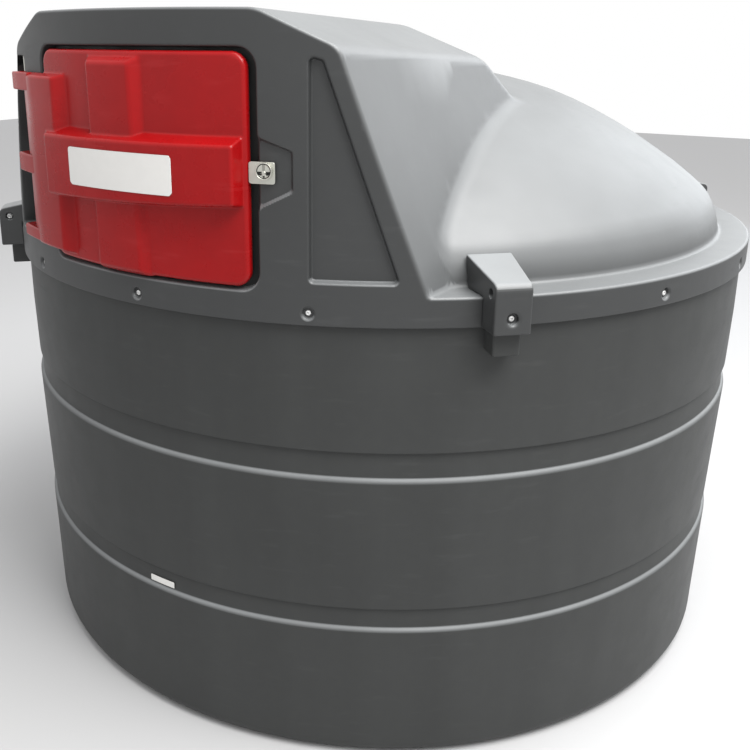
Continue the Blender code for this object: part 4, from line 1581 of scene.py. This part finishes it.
@dataclass
class Lugs:
    """The lifting lugs over the rim with their screws and bolts, and the tabs under them."""

    azimuths: tuple[tuple[str, float], ...] = (
        ("front_right", 44.2), ("rear_right", 135.8), ("rear_left", -135.8), ("front_left", -44.2))
    half_width: float = 0.043
    flare: Triple = (0.012, 1.195, 1.050)
    face_radius: float = 1.218
    nose_z: float = 0.0965
    nose_round: float = 0.020
    nose_turns: tuple[int, ...] = (0, 13, 26, 39, 52, 65, 78)
    back: tuple[Pair, ...] = (
        (1.050, 0.147), (1.0505, 0.129), (1.066, 0.094), (1.066, 0.0713), (1.1503, 0.0713))
    edge: float = 0.0045
    cut_edge: float = 0.002
    around: tuple[Triple, Triple] = (
        (-0.0595, 1.044, -0.006), (0.0595, 1.224, 0.154))
    step: float = 0.0026
    side_hole: Triple = (1.188, 0.090, 0.011)
    hole_floor: float = 0.030
    face_well: Pair = (0.036, 0.0135)
    well_depth: float = 0.014
    well_edge: float = 0.003
    cone: tuple[float, float, float, float] = (0.019, 1.6, 0.53, 0.006)
    tab: tuple[Triple, Triple] = (
        (-0.032, 1.118, -0.058), (0.032, 1.190, -0.0004))
    tab_edge: float = 0.005
    tab_margin: Triple = (0.004, 0.004, 0.004)
    head_edges: Pair = (0.0012, 0.0006)
    head_dome: float = 0.35
    socket: Pair = (0.36, 0.45)
    # Screw heads: radius and rise, where they sit, and the space searched round them.
    screw: Pair = (0.0066, 0.006)
    screw_sink: float = 0.0142
    screw_around: Triple = (0.009, 0.002, 0.009)
    bolt: Pair = (0.0085, 0.011)
    bolt_seat: float = 0.0298
    bolt_around: Triple = (0.027, 0.044, 0.011)
    rim_screw: Pair = (0.0062, 0.0045)
    rim_sink: float = 0.0091
    rim_around: Triple = (0.008, 0.002, 0.007)
    screw_step: float = 0.0009
    bolt_step: float = 0.001

    def side_outline(self) -> Array:
        """The lug's side outline, drawn in by the edge's round.

        Returns:
            Its corners as radius and height.
        """
        reach = self.face_radius - self.nose_round
        nose = [(reach + self.nose_round * math.cos(t), self.nose_z + self.nose_round * math.sin(t))
                for t in map(math.radians, self.nose_turns)]
        corners = [(self.back[-1][0], 0.0), (self.face_radius, 0.0), *nose, *self.back]
        return shrunk(corners, self.edge)

    def lug(self, p: Array) -> Array:
        """Distance outside one lug: sideways, radius, height.

        Args:
            p: Points in the lug's own directions.

        Returns:
            One distance for each point.
        """
        side, r, z = p.T
        profile = outside_polygon(p[:, 1:], self.side_outline())
        wider, start, end = self.flare
        half = self.half_width + wider * np.clip((start - r) / (start - end), 0.0, 1.0)
        body = outside_all(np.stack([profile - self.edge, np.abs(side) - half], axis=1), self.edge)
        hole_r, hole_z, size = self.side_hole
        hole = smooth_max(np.hypot(r - hole_r, z - hole_z) - size, self.hole_floor - np.abs(side),
                          self.cut_edge)
        face_z, well = self.face_well
        away = np.hypot(side, z - face_z)
        deep = smooth_max(away - well, self.face_radius - self.well_depth - r, self.well_edge)
        wide, spread, share, depth = self.cone
        cone = np.maximum((away - wide - (r - self.face_radius) * spread) * share,
                          self.face_radius - depth - r)
        return smooth_max(body, -np.minimum(hole, np.minimum(deep, cone)), self.cut_edge)

    def head(self, p: Array, radius: float, rise: float) -> Array:
        """Distance outside a domed screw head with a socket: across, outwards, across.

        Args:
            p: Points from the middle of its seat.
            radius: The head's radius.
            rise: How far it stands out.

        Returns:
            One distance for each point.
        """
        x, out, z = p.T
        r = np.hypot(x, z)
        edge, foot = self.head_edges
        dome = smooth_max(r - radius, out - rise * (1 - self.head_dome * (r / radius) ** 2), edge)
        wide, deep = self.socket
        sides = [np.abs(math.cos(t) * x + math.sin(t) * z) for t in (0.0, math.pi / 3, -math.pi / 3)]
        socket = np.maximum(np.maximum.reduce(sides) - wide * radius, deep * rise - out)
        return np.maximum(smooth_max(dome, -out, foot), -socket)

    def add_head(self, shell: Shell, head: Pair, seat: float, z: float, azimuth: float,
                 around: Triple) -> None:
        """Adds a screw that faces outwards.

        Args:
            shell: The shell that gets it.
            head: Its head's radius and rise.
            seat: The radius on which it sits.
            z: Its height.
            azimuth: Where it sits.
            around: How far the space searched reaches sideways, inwards and outwards.
        """
        side, back, front = around
        add_framed(shell, lambda p: self.head(p - np.array([0.0, seat, z]), *head),
                   (-side, seat - back, z - side), (side, seat + front, z + side), self.screw_step, azimuth)

    def build(self) -> dict[str, list[Piece]]:
        """Makes the lugs, their screws and bolts and the tabs.

        Returns:
            The pieces in the lid's plastic, the steel ones, and those in the wall's plastic.
        """
        plastic, wall = [], []
        screws, bolts = Shell(), Shell()
        hole_r, hole_z, _ = self.side_hole
        near, far, side = self.bolt_around
        tab_box = padded(*self.tab, *self.tab_margin)
        for name, azimuth in self.azimuths:
            shell = Shell()
            add_framed(shell, self.lug, *self.around, self.step, azimuth)
            plastic.append(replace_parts(shell.build(f"lug_moulding_{name}", LID_Z), f"lug_{name}"))
            self.add_head(screws, self.screw, self.face_radius - self.screw_sink, self.face_well[0], azimuth,
                          self.screw_around)
            add_framed(bolts, self.side_bolt, (near, hole_r - side, hole_z - side),
                       (far, hole_r + side, hole_z + side), self.bolt_step, azimuth)
            tab = Shell()
            add_framed(tab, lambda p: rounded_box(p, *self.tab, self.tab_edge), *tab_box, self.step, azimuth)
            wall.append(tab.build(f"guide_tab_{name}", LID_Z))
        steel = [screws.build("lug_screws", LID_Z), bolts.build("lug_bolts", LID_Z)]
        return {"lid": plastic, "steel": steel, "wall": wall}

    def side_bolt(self, p: Array) -> Array:
        """Distance outside the bolt in a lug's side hole."""
        hole_r, hole_z, _ = self.side_hole
        return self.head(np.stack([p[:, 1] - hole_r, p[:, 0] - self.bolt_seat, p[:, 2] - hole_z], axis=1),
                         *self.bolt)

    def build_rim_screws(self, azimuths: Sequence[float], z: float) -> Piece:
        """Makes the screws in the wells round the skirt.

        Args:
            azimuths: Where they sit.
            z: Their height.

        Returns:
            The object.
        """
        shell = Shell()
        for azimuth in azimuths:
            self.add_head(shell, self.rim_screw, LID_RADIUS - self.rim_sink, z, azimuth, self.rim_around)
        return shell.build("rim_screws", LID_Z)


@dataclass
class Trim:
    """The blank sticker on the wall and the sill that closes the lid under the cabinet."""

    sticker_azimuths: Pair = (-2.0, 2.3)
    sticker_z: Pair = (-0.7905, -0.7725)
    sticker_radius: float = 1.1192
    sticker_thickness: float = 0.0008
    sticker_rounds: Pair = (0.002, 0.0003)
    sticker_step: Triple = (0.0015, 0.0015, 0.0003)
    sticker_margin: Triple = (0.003, 0.003, 0.0008)
    sill: Pair = (1.0455, 1.0945)
    sill_low: float = 0.0595
    sill_edges: Pair = (0.001, 0.002)
    sill_half: float = 37.0
    sill_sides: int = 74

    def build_sticker(self) -> Piece:
        """Makes the small blank sticker.

        Returns:
            The object.
        """
        base = self.sticker_radius - LID_RADIUS
        low, high = placed(tuple(zip(self.sticker_azimuths, self.sticker_z)))
        shell = Shell()
        add_plate(shell, (*low, base), (*high, base + self.sticker_thickness), *self.sticker_rounds,
                  self.sticker_step, self.sticker_margin)
        return shell.build("wall_sticker", LID_Z)

    def build_sill(self) -> Piece:
        """Makes the flat sill behind the cabinet's front.

        Returns:
            The object.
        """
        (low, high), (under, over) = self.sill, self.sill_edges
        points, normals = rounded_path([(low, self.sill_low, under), (high, self.sill_low, under),
                                        (high, LEDGE_Z, over), (low, LEDGE_Z, over)])
        azimuth = np.linspace(-self.sill_half, self.sill_half, self.sill_sides + 1)
        rows = np.stack([polar(azimuth, r, z) for r, z in points])
        facings = np.stack([polar(azimuth, out, up) for out, up in normals])
        shell = Shell()
        shell.add_grid(rows, facings)
        for column, sign in ((0, -1.0), (-1, 1.0)):
            ring = rows[:-1, column]
            centre = ring.mean(axis=0, keepdims=True)
            facing = facings_at(azimuth[column])[1] * sign
            fan = [(len(ring), *edge) for edge in ring_edges(0, len(ring))]
            shell.add(np.concatenate([ring, centre]), np.tile(facing, (len(ring) + 1, 1)), fan)
        return shell.build("cabinet_sill", LID_Z)


class Grain(Enum):
    """How a surface is grained: fine scale, fine depth, coarse scale and coarse depth of its relief."""

    MOULDED = (620.0, 0.00009, 30.0, 0.00022)
    SMOOTH = (480.0, 0.00004, 26.0, 0.00018)
    METAL = (900.0, 0.00004, 120.0, 0.0001)
    RUBBER = (300.0, 0.0002, 40.0, 0.0004)
    PAPER = (700.0, 0.00003, 60.0, 0.00015)


class Pattern(Enum):
    """The noise behind one kind of unevenness: scale, detail and stretch."""

    CLOUD = (2.2, 5.0, (1.0, 1.0, 1.0))
    MOTTLE = (38.0, 4.0, (1.0, 1.0, 1.0))
    # Vertical streaks, partly moulding flow and partly painted shading streaks.
    FLOW_AND_SHADE_STREAK = (5.0, 4.0, (1.6, 1.6, 0.10))
    SCRATCH = (9.0, 8.0, (1.0, 1.0, 6.0))
    # Patches of the pale upward layer, which is partly dust and partly painted top light.
    DUST_AND_PAINTED_LIGHT_PATCHES = (3.0, 3.0, (1.0, 1.0, 1.0))
    SHEEN = (14.0, 6.0, (1.0, 1.0, 1.0))
    FLOOR = (1.5, 3.0, (1.0, 1.0, 1.0))


class Sheet:
    """A material's node tree, with short ways to add and join nodes."""

    MIX_SHARE, MIX_FIRST, MIX_SECOND, MIX_RESULT = 0, 6, 7, 2
    COARSE_DETAIL, FINE_DETAIL = 2.0, 3.0

    def __init__(self, name: str) -> None:
        """Starts a material.

        Args:
            name: The material's name.
        """
        self.material = bpy.data.materials.new(name)
        self.material.use_nodes = True
        self.tree = self.material.node_tree
        self.shader = self.tree.nodes["Principled BSDF"]
        self.place = self.tree.nodes.new("ShaderNodeTexCoord").outputs["Object"]

    def noise(self, scale: float, detail: float,
              stretch: Triple = (1.0, 1.0, 1.0)) -> Socket:
        """Adds a noise over the object's own coordinates and gives its strength.

        Args:
            scale: How fine it is.
            detail: How many finer noises it holds.
            stretch: Its density along each axis.

        Returns:
            Its strength.
        """
        mapping = self.tree.nodes.new("ShaderNodeMapping")
        mapping.inputs["Scale"].default_value = stretch
        self.tree.links.new(self.place, mapping.inputs["Vector"])
        node = self.tree.nodes.new("ShaderNodeTexNoise")
        node.inputs["Scale"].default_value = scale
        node.inputs["Detail"].default_value = detail
        self.tree.links.new(mapping.outputs["Vector"], node.inputs["Vector"])
        return node.outputs["Fac"]

    def ranged(self, value: Socket, low: float, high: float, start: float = 0.35,
               end: float = 0.65) -> Socket:
        """Maps a strength between start and end onto low to high, and gives the result.

        Args:
            value: The strength.
            low: Result at start.
            high: Result at end.
            start: Lowest strength that counts.
            end: Highest one.

        Returns:
            The result.
        """
        node = self.tree.nodes.new("ShaderNodeMapRange")
        for key, number in (("From Min", start), ("From Max", end), ("To Min", low), ("To Max", high)):
            node.inputs[key].default_value = number
        self.tree.links.new(value, node.inputs["Value"])
        return node.outputs["Result"]

    def combined(self, operation: str, a: Socket, b: Socket | float) -> Socket:
        """Joins two strengths, the second of which may be a number.

        Args:
            operation: The sum to do.
            a: The first strength.
            b: The second strength or a number.

        Returns:
            The result.
        """
        node = self.tree.nodes.new("ShaderNodeMath")
        node.operation = operation
        self.tree.links.new(a, node.inputs[0])
        if isinstance(b, float):
            node.inputs[1].default_value = b
        else:
            self.tree.links.new(b, node.inputs[1])
        return node.outputs["Value"]

    def mixed(self, share: Socket, a: Colour | Socket, b: Colour | Socket) -> Socket:
        """Mixes two colours, given as a colour or a socket, by a share.

        Args:
            share: The second colour's share.
            a: The first colour.
            b: The second colour.

        Returns:
            The mixed colour.
        """
        node = self.tree.nodes.new("ShaderNodeMix")
        node.data_type = "RGBA"
        self.tree.links.new(share, node.inputs[self.MIX_SHARE])
        for socket, colour in ((node.inputs[self.MIX_FIRST], a), (node.inputs[self.MIX_SECOND], b)):
            if isinstance(colour, tuple):
                socket.default_value = (*colour, 1.0)
            else:
                self.tree.links.new(colour, socket)
        return node.outputs[self.MIX_RESULT]

    def upward(self) -> Socket:
        """How far the surface faces up, from its own normal.

        Returns:
            A socket between -1 and 1.
        """
        geometry_node = self.tree.nodes.new("ShaderNodeNewGeometry")
        parts = self.tree.nodes.new("ShaderNodeSeparateXYZ")
        self.tree.links.new(geometry_node.outputs["Normal"], parts.inputs["Vector"])
        return parts.outputs["Z"]

    def relief(self, grain: Grain) -> None:
        """Adds a fine and a coarse relief to the surface.

        Args:
            grain: The kind of relief.
        """
        fine_scale, fine_depth, coarse_scale, coarse_depth = grain.value
        before = None
        for scale, depth, detail in ((coarse_scale, coarse_depth, self.COARSE_DETAIL),
                                     (fine_scale, fine_depth, self.FINE_DETAIL)):
            bump = self.tree.nodes.new("ShaderNodeBump")
            bump.inputs["Strength"].default_value = 1.0
            bump.inputs["Distance"].default_value = depth
            self.tree.links.new(self.noise(scale, detail), bump.inputs["Height"])
            if before is not None:
                self.tree.links.new(before, bump.inputs["Normal"])
            before = bump.outputs["Normal"]
        self.tree.links.new(before, self.shader.inputs["Normal"])


@dataclass(frozen=True)
class Finish:
    """One surface finish: colour, roughness, the spread of both, relief, streaks of flow and painted shading,
    a pale upward layer of dust and painted top light, and scuffs.
    """

    name: str
    slot: str
    colour: Colour
    roughness: float
    grain: Grain
    spread: float = 0.06
    roughness_spread: float = 0.06
    # Vertical colour streaks: partly flow marks of the moulding, partly painted shading streaks.
    flow_and_shade_streaks: float = 0.0
    # A pale layer on upward faces: partly settled dust, partly painted light that brightens tops and upward
    # lips.
    dust_and_painted_light: float = 0.0
    scuffs: float = 0.25
    metallic: float = 0.0
    specular: float = 0.5
    # Colour of that pale layer and the upward facing over which it grows, as dust and painted top light.
    dust_and_painted_light_colour: Colour = (0.445, 0.462, 0.474)
    dust_and_painted_light_from: float = 0.45
    dust_and_painted_light_to: float = 1.0
    dust_and_painted_light_thin: float = 0.85
    scratch_range: Pair = (0.60, 0.74)
    scratch_rough: float = 0.25
    worn: Pair = (1.25, 0.02)
    shades: Pair = (0.5, 1.5)

    def varied(self, sheet: Sheet, pattern: Pattern, middle: float, spread: float) -> Socket:
        """A strength that varies round a middle by a spread, along a pattern."""
        return sheet.ranged(sheet.noise(*pattern.value), middle - spread, middle + spread)

    def build(self) -> bpy.types.Material:
        """Makes the material.

        Returns:
            A material whose colour, roughness and relief vary over the surface.
        """
        sheet = Sheet(self.name)
        inputs = sheet.shader.inputs
        inputs["Metallic"].default_value = self.metallic
        inputs["Specular IOR Level"].default_value = self.specular
        cloud = self.varied(sheet, Pattern.CLOUD, 1, self.spread)
        mottle = self.varied(sheet, Pattern.MOTTLE, 1, self.spread / 2)
        strength = sheet.combined("MULTIPLY", cloud, mottle)
        # Vertical streaks in the colour, partly moulding flow and partly painted shading streaks.
        if self.flow_and_shade_streaks > 0:
            flow_and_shade_streak = self.varied(sheet, Pattern.FLOW_AND_SHADE_STREAK, 1, self.flow_and_shade_streaks)
            strength = sheet.combined("MULTIPLY", strength, flow_and_shade_streak)
        dark, light = (tuple(min(shade * c, 1.0) for c in self.colour) for shade in self.shades)
        colour = sheet.mixed(sheet.combined("SUBTRACT", strength, self.shades[0]), dark, light)
        scratches = sheet.ranged(sheet.noise(*Pattern.SCRATCH.value), 0.0, self.scuffs, *self.scratch_range)
        share, lift = self.worn
        colour = sheet.mixed(scratches, colour, tuple(min(share * c + lift, 1.0) for c in self.colour))
        # Pale upward layer: settled dust together with painted top light on roofs, ledges, lug tops and band
        # lips.
        if self.dust_and_painted_light > 0:
            facing = sheet.ranged(sheet.upward(), 0.0, self.dust_and_painted_light, self.dust_and_painted_light_from, self.dust_and_painted_light_to)
            patches = sheet.ranged(sheet.noise(*Pattern.DUST_AND_PAINTED_LIGHT_PATCHES.value), self.dust_and_painted_light_thin, 1.0)
            colour = sheet.mixed(sheet.combined("MULTIPLY", facing, patches), colour, self.dust_and_painted_light_colour)
        sheet.tree.links.new(colour, inputs["Base Color"])
        rough = self.varied(sheet, Pattern.SHEEN, self.roughness, self.roughness_spread)
        rougher = sheet.combined("MULTIPLY", scratches, self.scratch_rough)
        sheet.tree.links.new(sheet.combined("ADD", rough, rougher), inputs["Roughness"])
        sheet.relief(self.grain)
        return sheet.material


# The wall, lid and lug finishes carry a strong pale upward layer, dust and painted top light together.
FINISHES = {
    "wall": Finish(
        "grey_wall_plastic", "tank_shell", (0.038, 0.0395, 0.039), 0.50, Grain.MOULDED, 0.04, 0.02, 0.05,
        0.36, specular=0.24, dust_and_painted_light_from=0.08, dust_and_painted_light_to=0.75),
    "lid": Finish(
        "grey_lid_plastic", "lid_shell", (0.032, 0.0335, 0.034), 0.44, Grain.MOULDED, 0.03, 0.015, 0.02,
        0.25, dust_and_painted_light_from=0.05, dust_and_painted_light_to=0.48),
    "lug": Finish(
        "grey_lug_plastic", "lid_shell", (0.034, 0.0355, 0.036), 0.42, Grain.MOULDED, 0.03, 0.015, 0.02,
        0.42, dust_and_painted_light_from=0.30, dust_and_painted_light_to=0.95),
    "red": Finish(
        "red_door_plastic", "door_red", (0.270, 0.003, 0.004), 0.30, Grain.SMOOTH, 0.05, 0.05, 0.02,
        specular=0.24),
    "plate": Finish(
        "white_plate_paint", "white_plate", (0.66, 0.65, 0.63), 0.38, Grain.PAPER, 0.02, 0.04,
        dust_and_painted_light=0.02, scuffs=0.1),
    "steel": Finish(
        "zinc_steel_bright", "zinc_steel", (0.62, 0.62, 0.56), 0.34, Grain.METAL, 0.08, 0.08,
        scuffs=0.4, metallic=0.85),
    "screw": Finish(
        "pale_screw_zinc", "zinc_steel", (0.80, 0.80, 0.78), 0.40, Grain.METAL, 0.08, 0.08,
        scuffs=0.3, metallic=0.35),
    "rubber": Finish(
        "black_seal_rubber", "black_rubber", (0.012, 0.013, 0.013), 0.62, Grain.RUBBER, 0.15, 0.10),
}


def direction(azimuth: float, elevation: float) -> Vector:
    """The unit vector towards an azimuth and an elevation, both in degrees from the front."""
    turn, rise = math.radians(azimuth), math.radians(elevation)
    return Vector((math.sin(turn) * math.cos(rise), -math.cos(turn) * math.cos(rise), math.sin(rise)))


@dataclass
class PhotoCamera:
    """The camera at the photograph's place, as fitted to the lid's rim, the bands and the door opening."""

    place: Triple = (1.5595, -2.6903, 1.809)
    heading: float = 33.71
    pitch: float = 17.12
    roll: float = 0.06
    focal_pixels: float = 923.6
    centre_pixel: Pair = (320.0, 320.0)
    picture_pixels: float = 750.0
    sensor_mm: float = 36.0

    def build(self) -> Piece:
        """Makes the camera and sets it as the scene's own.

        Returns:
            The camera.
        """
        data = bpy.data.cameras.new("photo_camera")
        data.sensor_width = self.sensor_mm
        data.lens = self.focal_pixels / self.picture_pixels * self.sensor_mm
        data.shift_x = 0.5 - self.centre_pixel[0] / self.picture_pixels
        data.shift_y = self.centre_pixel[1] / self.picture_pixels - 0.5
        camera = bpy.data.objects.new("photo_camera", data)
        look = Matrix.Rotation(math.radians(self.heading), 4, "Z")
        look = look @ Matrix.Rotation(math.radians(90.0 - self.pitch), 4, "X")
        look = look @ Matrix.Rotation(math.radians(self.roll), 4, "Z")
        camera.matrix_world = Matrix.Translation(self.place) @ look
        bpy.context.scene.collection.objects.link(camera)
        bpy.context.scene.camera = camera
        return camera


@dataclass(frozen=True)
class SoftLight:
    """One soft square light that faces the tank."""

    name: str
    azimuth: float
    elevation: float
    distance: float
    size: float
    power: float
    tint: Colour
    aim: Triple = (0.0, 0.0, 1.0)

    def build(self) -> Piece:
        """Puts the light up.

        Returns:
            The light.
        """
        data = bpy.data.lights.new(self.name, "AREA")
        data.shape = "SQUARE"
        data.size = self.size
        data.energy = self.power
        data.color = self.tint
        light = bpy.data.objects.new(self.name, data)
        towards = direction(self.azimuth, self.elevation)
        light.location = Vector(self.aim) + towards * self.distance
        light.rotation_euler = towards.to_track_quat("Z", "Y").to_euler()
        bpy.context.scene.collection.objects.link(light)
        return light


@dataclass
class Studio:
    """The pale floor, the soft lights and the plain surroundings."""

    floor_half: float = 16.0
    floor_grey: float = 0.48
    floor_blue: float = 1.02
    floor_roughness: float = 0.9
    world_colour: Colour = (1.0, 1.0, 1.0)
    world_level: float = 1.0
    lights: tuple[SoftLight, ...] = (
        SoftLight("overhead", 76.0, 62.0, 4.2, 3.2, 268.0, (1.0, 0.995, 0.98)),
        SoftLight("back_right", 162.0, 19.0, 6.5, 3.8, 85.0, (0.90, 0.95, 1.0)),
        SoftLight("back_high", 150.0, 46.0, 5.5, 3.4, 60.0, (0.95, 0.98, 1.0)),
        SoftLight("front_high", 58.0, 46.0, 5.5, 2.4, 150.0, (1.0, 1.0, 0.99)),
    )

    def build(self) -> Piece:
        """Makes the floor, the lights and the world.

        Returns:
            The floor.
        """
        mesh = bpy.data.meshes.new("studio_floor")
        half = self.floor_half
        corners = [(-half, -half, 0.0), (half, -half, 0.0), (half, half, 0.0), (-half, half, 0.0)]
        mesh.from_pydata(corners, [], [(0, 1, 2, 3)])
        floor = bpy.data.objects.new("studio_floor", mesh)
        sheet = Sheet("studio_pale")
        grey = self.floor_grey
        pale = sheet.mixed(sheet.noise(*Pattern.FLOOR.value), (grey, grey, grey),
                           (grey, grey, grey * self.floor_blue))
        sheet.tree.links.new(pale, sheet.shader.inputs["Base Color"])
        sheet.shader.inputs["Roughness"].default_value = self.floor_roughness
        mesh.materials.append(sheet.material)
        bpy.context.scene.collection.objects.link(floor)
        for light in self.lights:
            light.build()
        world = bpy.data.worlds.new("studio_world")
        world.use_nodes = True
        backdrop = world.node_tree.nodes["Background"]
        backdrop.inputs["Color"].default_value = (*self.world_colour, 1.0)
        backdrop.inputs["Strength"].default_value = self.world_level
        bpy.context.scene.world = world
        bpy.context.scene.view_settings.view_transform = "Standard"
        return floor


@dataclass
class Dresser:
    """Gives pieces their finish and the body they ride on."""

    paints: dict[str, bpy.types.Material]

    def dress(self, piece: Piece, finish: str, body: str = "tank") -> None:
        """Puts a finish on one piece.

        Args:
            piece: The object.
            finish: The finish's key.
            body: The body the piece rides on.
        """
        piece.data.materials.clear()
        piece.data.materials.append(self.paints[finish])
        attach(piece, body)
        LOG.info("%s: %s, %d faces, rides on %s", piece.name, finish, len(piece.data.polygons), body)

    def repaint(self, node: str, finish: str) -> None:
        """Gives a CAD node that is shown as it is a better material.

        Args:
            node: The CAD node.
            finish: The finish's name.
        """
        piece = bpy.data.objects[node]
        for slot in piece.material_slots:
            slot.material = self.paints[finish]
        LOG.info("%s: kept, %s", node, finish)


def main() -> None:
    """Builds the scene and reports each piece."""
    logging.basicConfig(level=logging.INFO, format="%(message)s")
    PhotoCamera().build()
    Studio().build()
    dresser = Dresser({key: finish.build() for key, finish in FINISHES.items()})

    lid = LidShell(LidForm())
    rims = [f"lid_rim_{side}" for side in ("front", "right", "rear", "left")]
    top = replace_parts(lid.build_top(), *rims, "dome_front_left", "dome_front_right", "dome_rear_left",
                      "dome_rear_right", "cabinet_roof", "cabinet_bevel_left", "cabinet_bevel_right",
                      "cabinet_side_left", "cabinet_side_right", "cabinet_rear_slope")
    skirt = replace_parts(lid.build_skirt(), *rims, "fascia_left", "fascia_right", "fascia_top")
    trim = Trim()
    for piece in (top, skirt, trim.build_sill()):
        dresser.dress(piece, "lid")
    dresser.dress(TankWall().build(), "wall")
    dresser.dress(trim.build_sticker(), "plate")

    lugs = Lugs()
    fittings = lugs.build()
    for piece in fittings["lid"]:
        dresser.dress(piece, "lug")
    for piece in fittings["wall"]:
        dresser.dress(piece, "wall")
    for piece in (*fittings["steel"], lugs.build_rim_screws(lid.well_azimuths, lid.well_z)):
        dresser.dress(piece, "screw")

    door, lock = Door(), Lock()
    dresser.dress(door.build_moulding(), "red", "door")
    dresser.dress(door.build_knuckles(), "red", "door")
    dresser.dress(door.build_plate(), "plate", "door")
    dresser.dress(door.build_rod(), "steel")
    dresser.dress(lock.build_hasp(), "steel", "door")
    dresser.dress(lock.build_disc(), "steel", "lock")
    dresser.dress(lock.build_core(), "rubber", "lock")
    # The door seal is black rubber; its dark band round the door also stands in for the gap's shade, so it is
    # partly painted shade.
    for node, finish in (("tank_floor", "wall"), ("cabinet_back", "lid"), ("cabinet_floor", "lid"),
                         ("door_seal", "rubber")):
        dresser.repaint(node, finish)


if __name__ == "__main__":
    main()
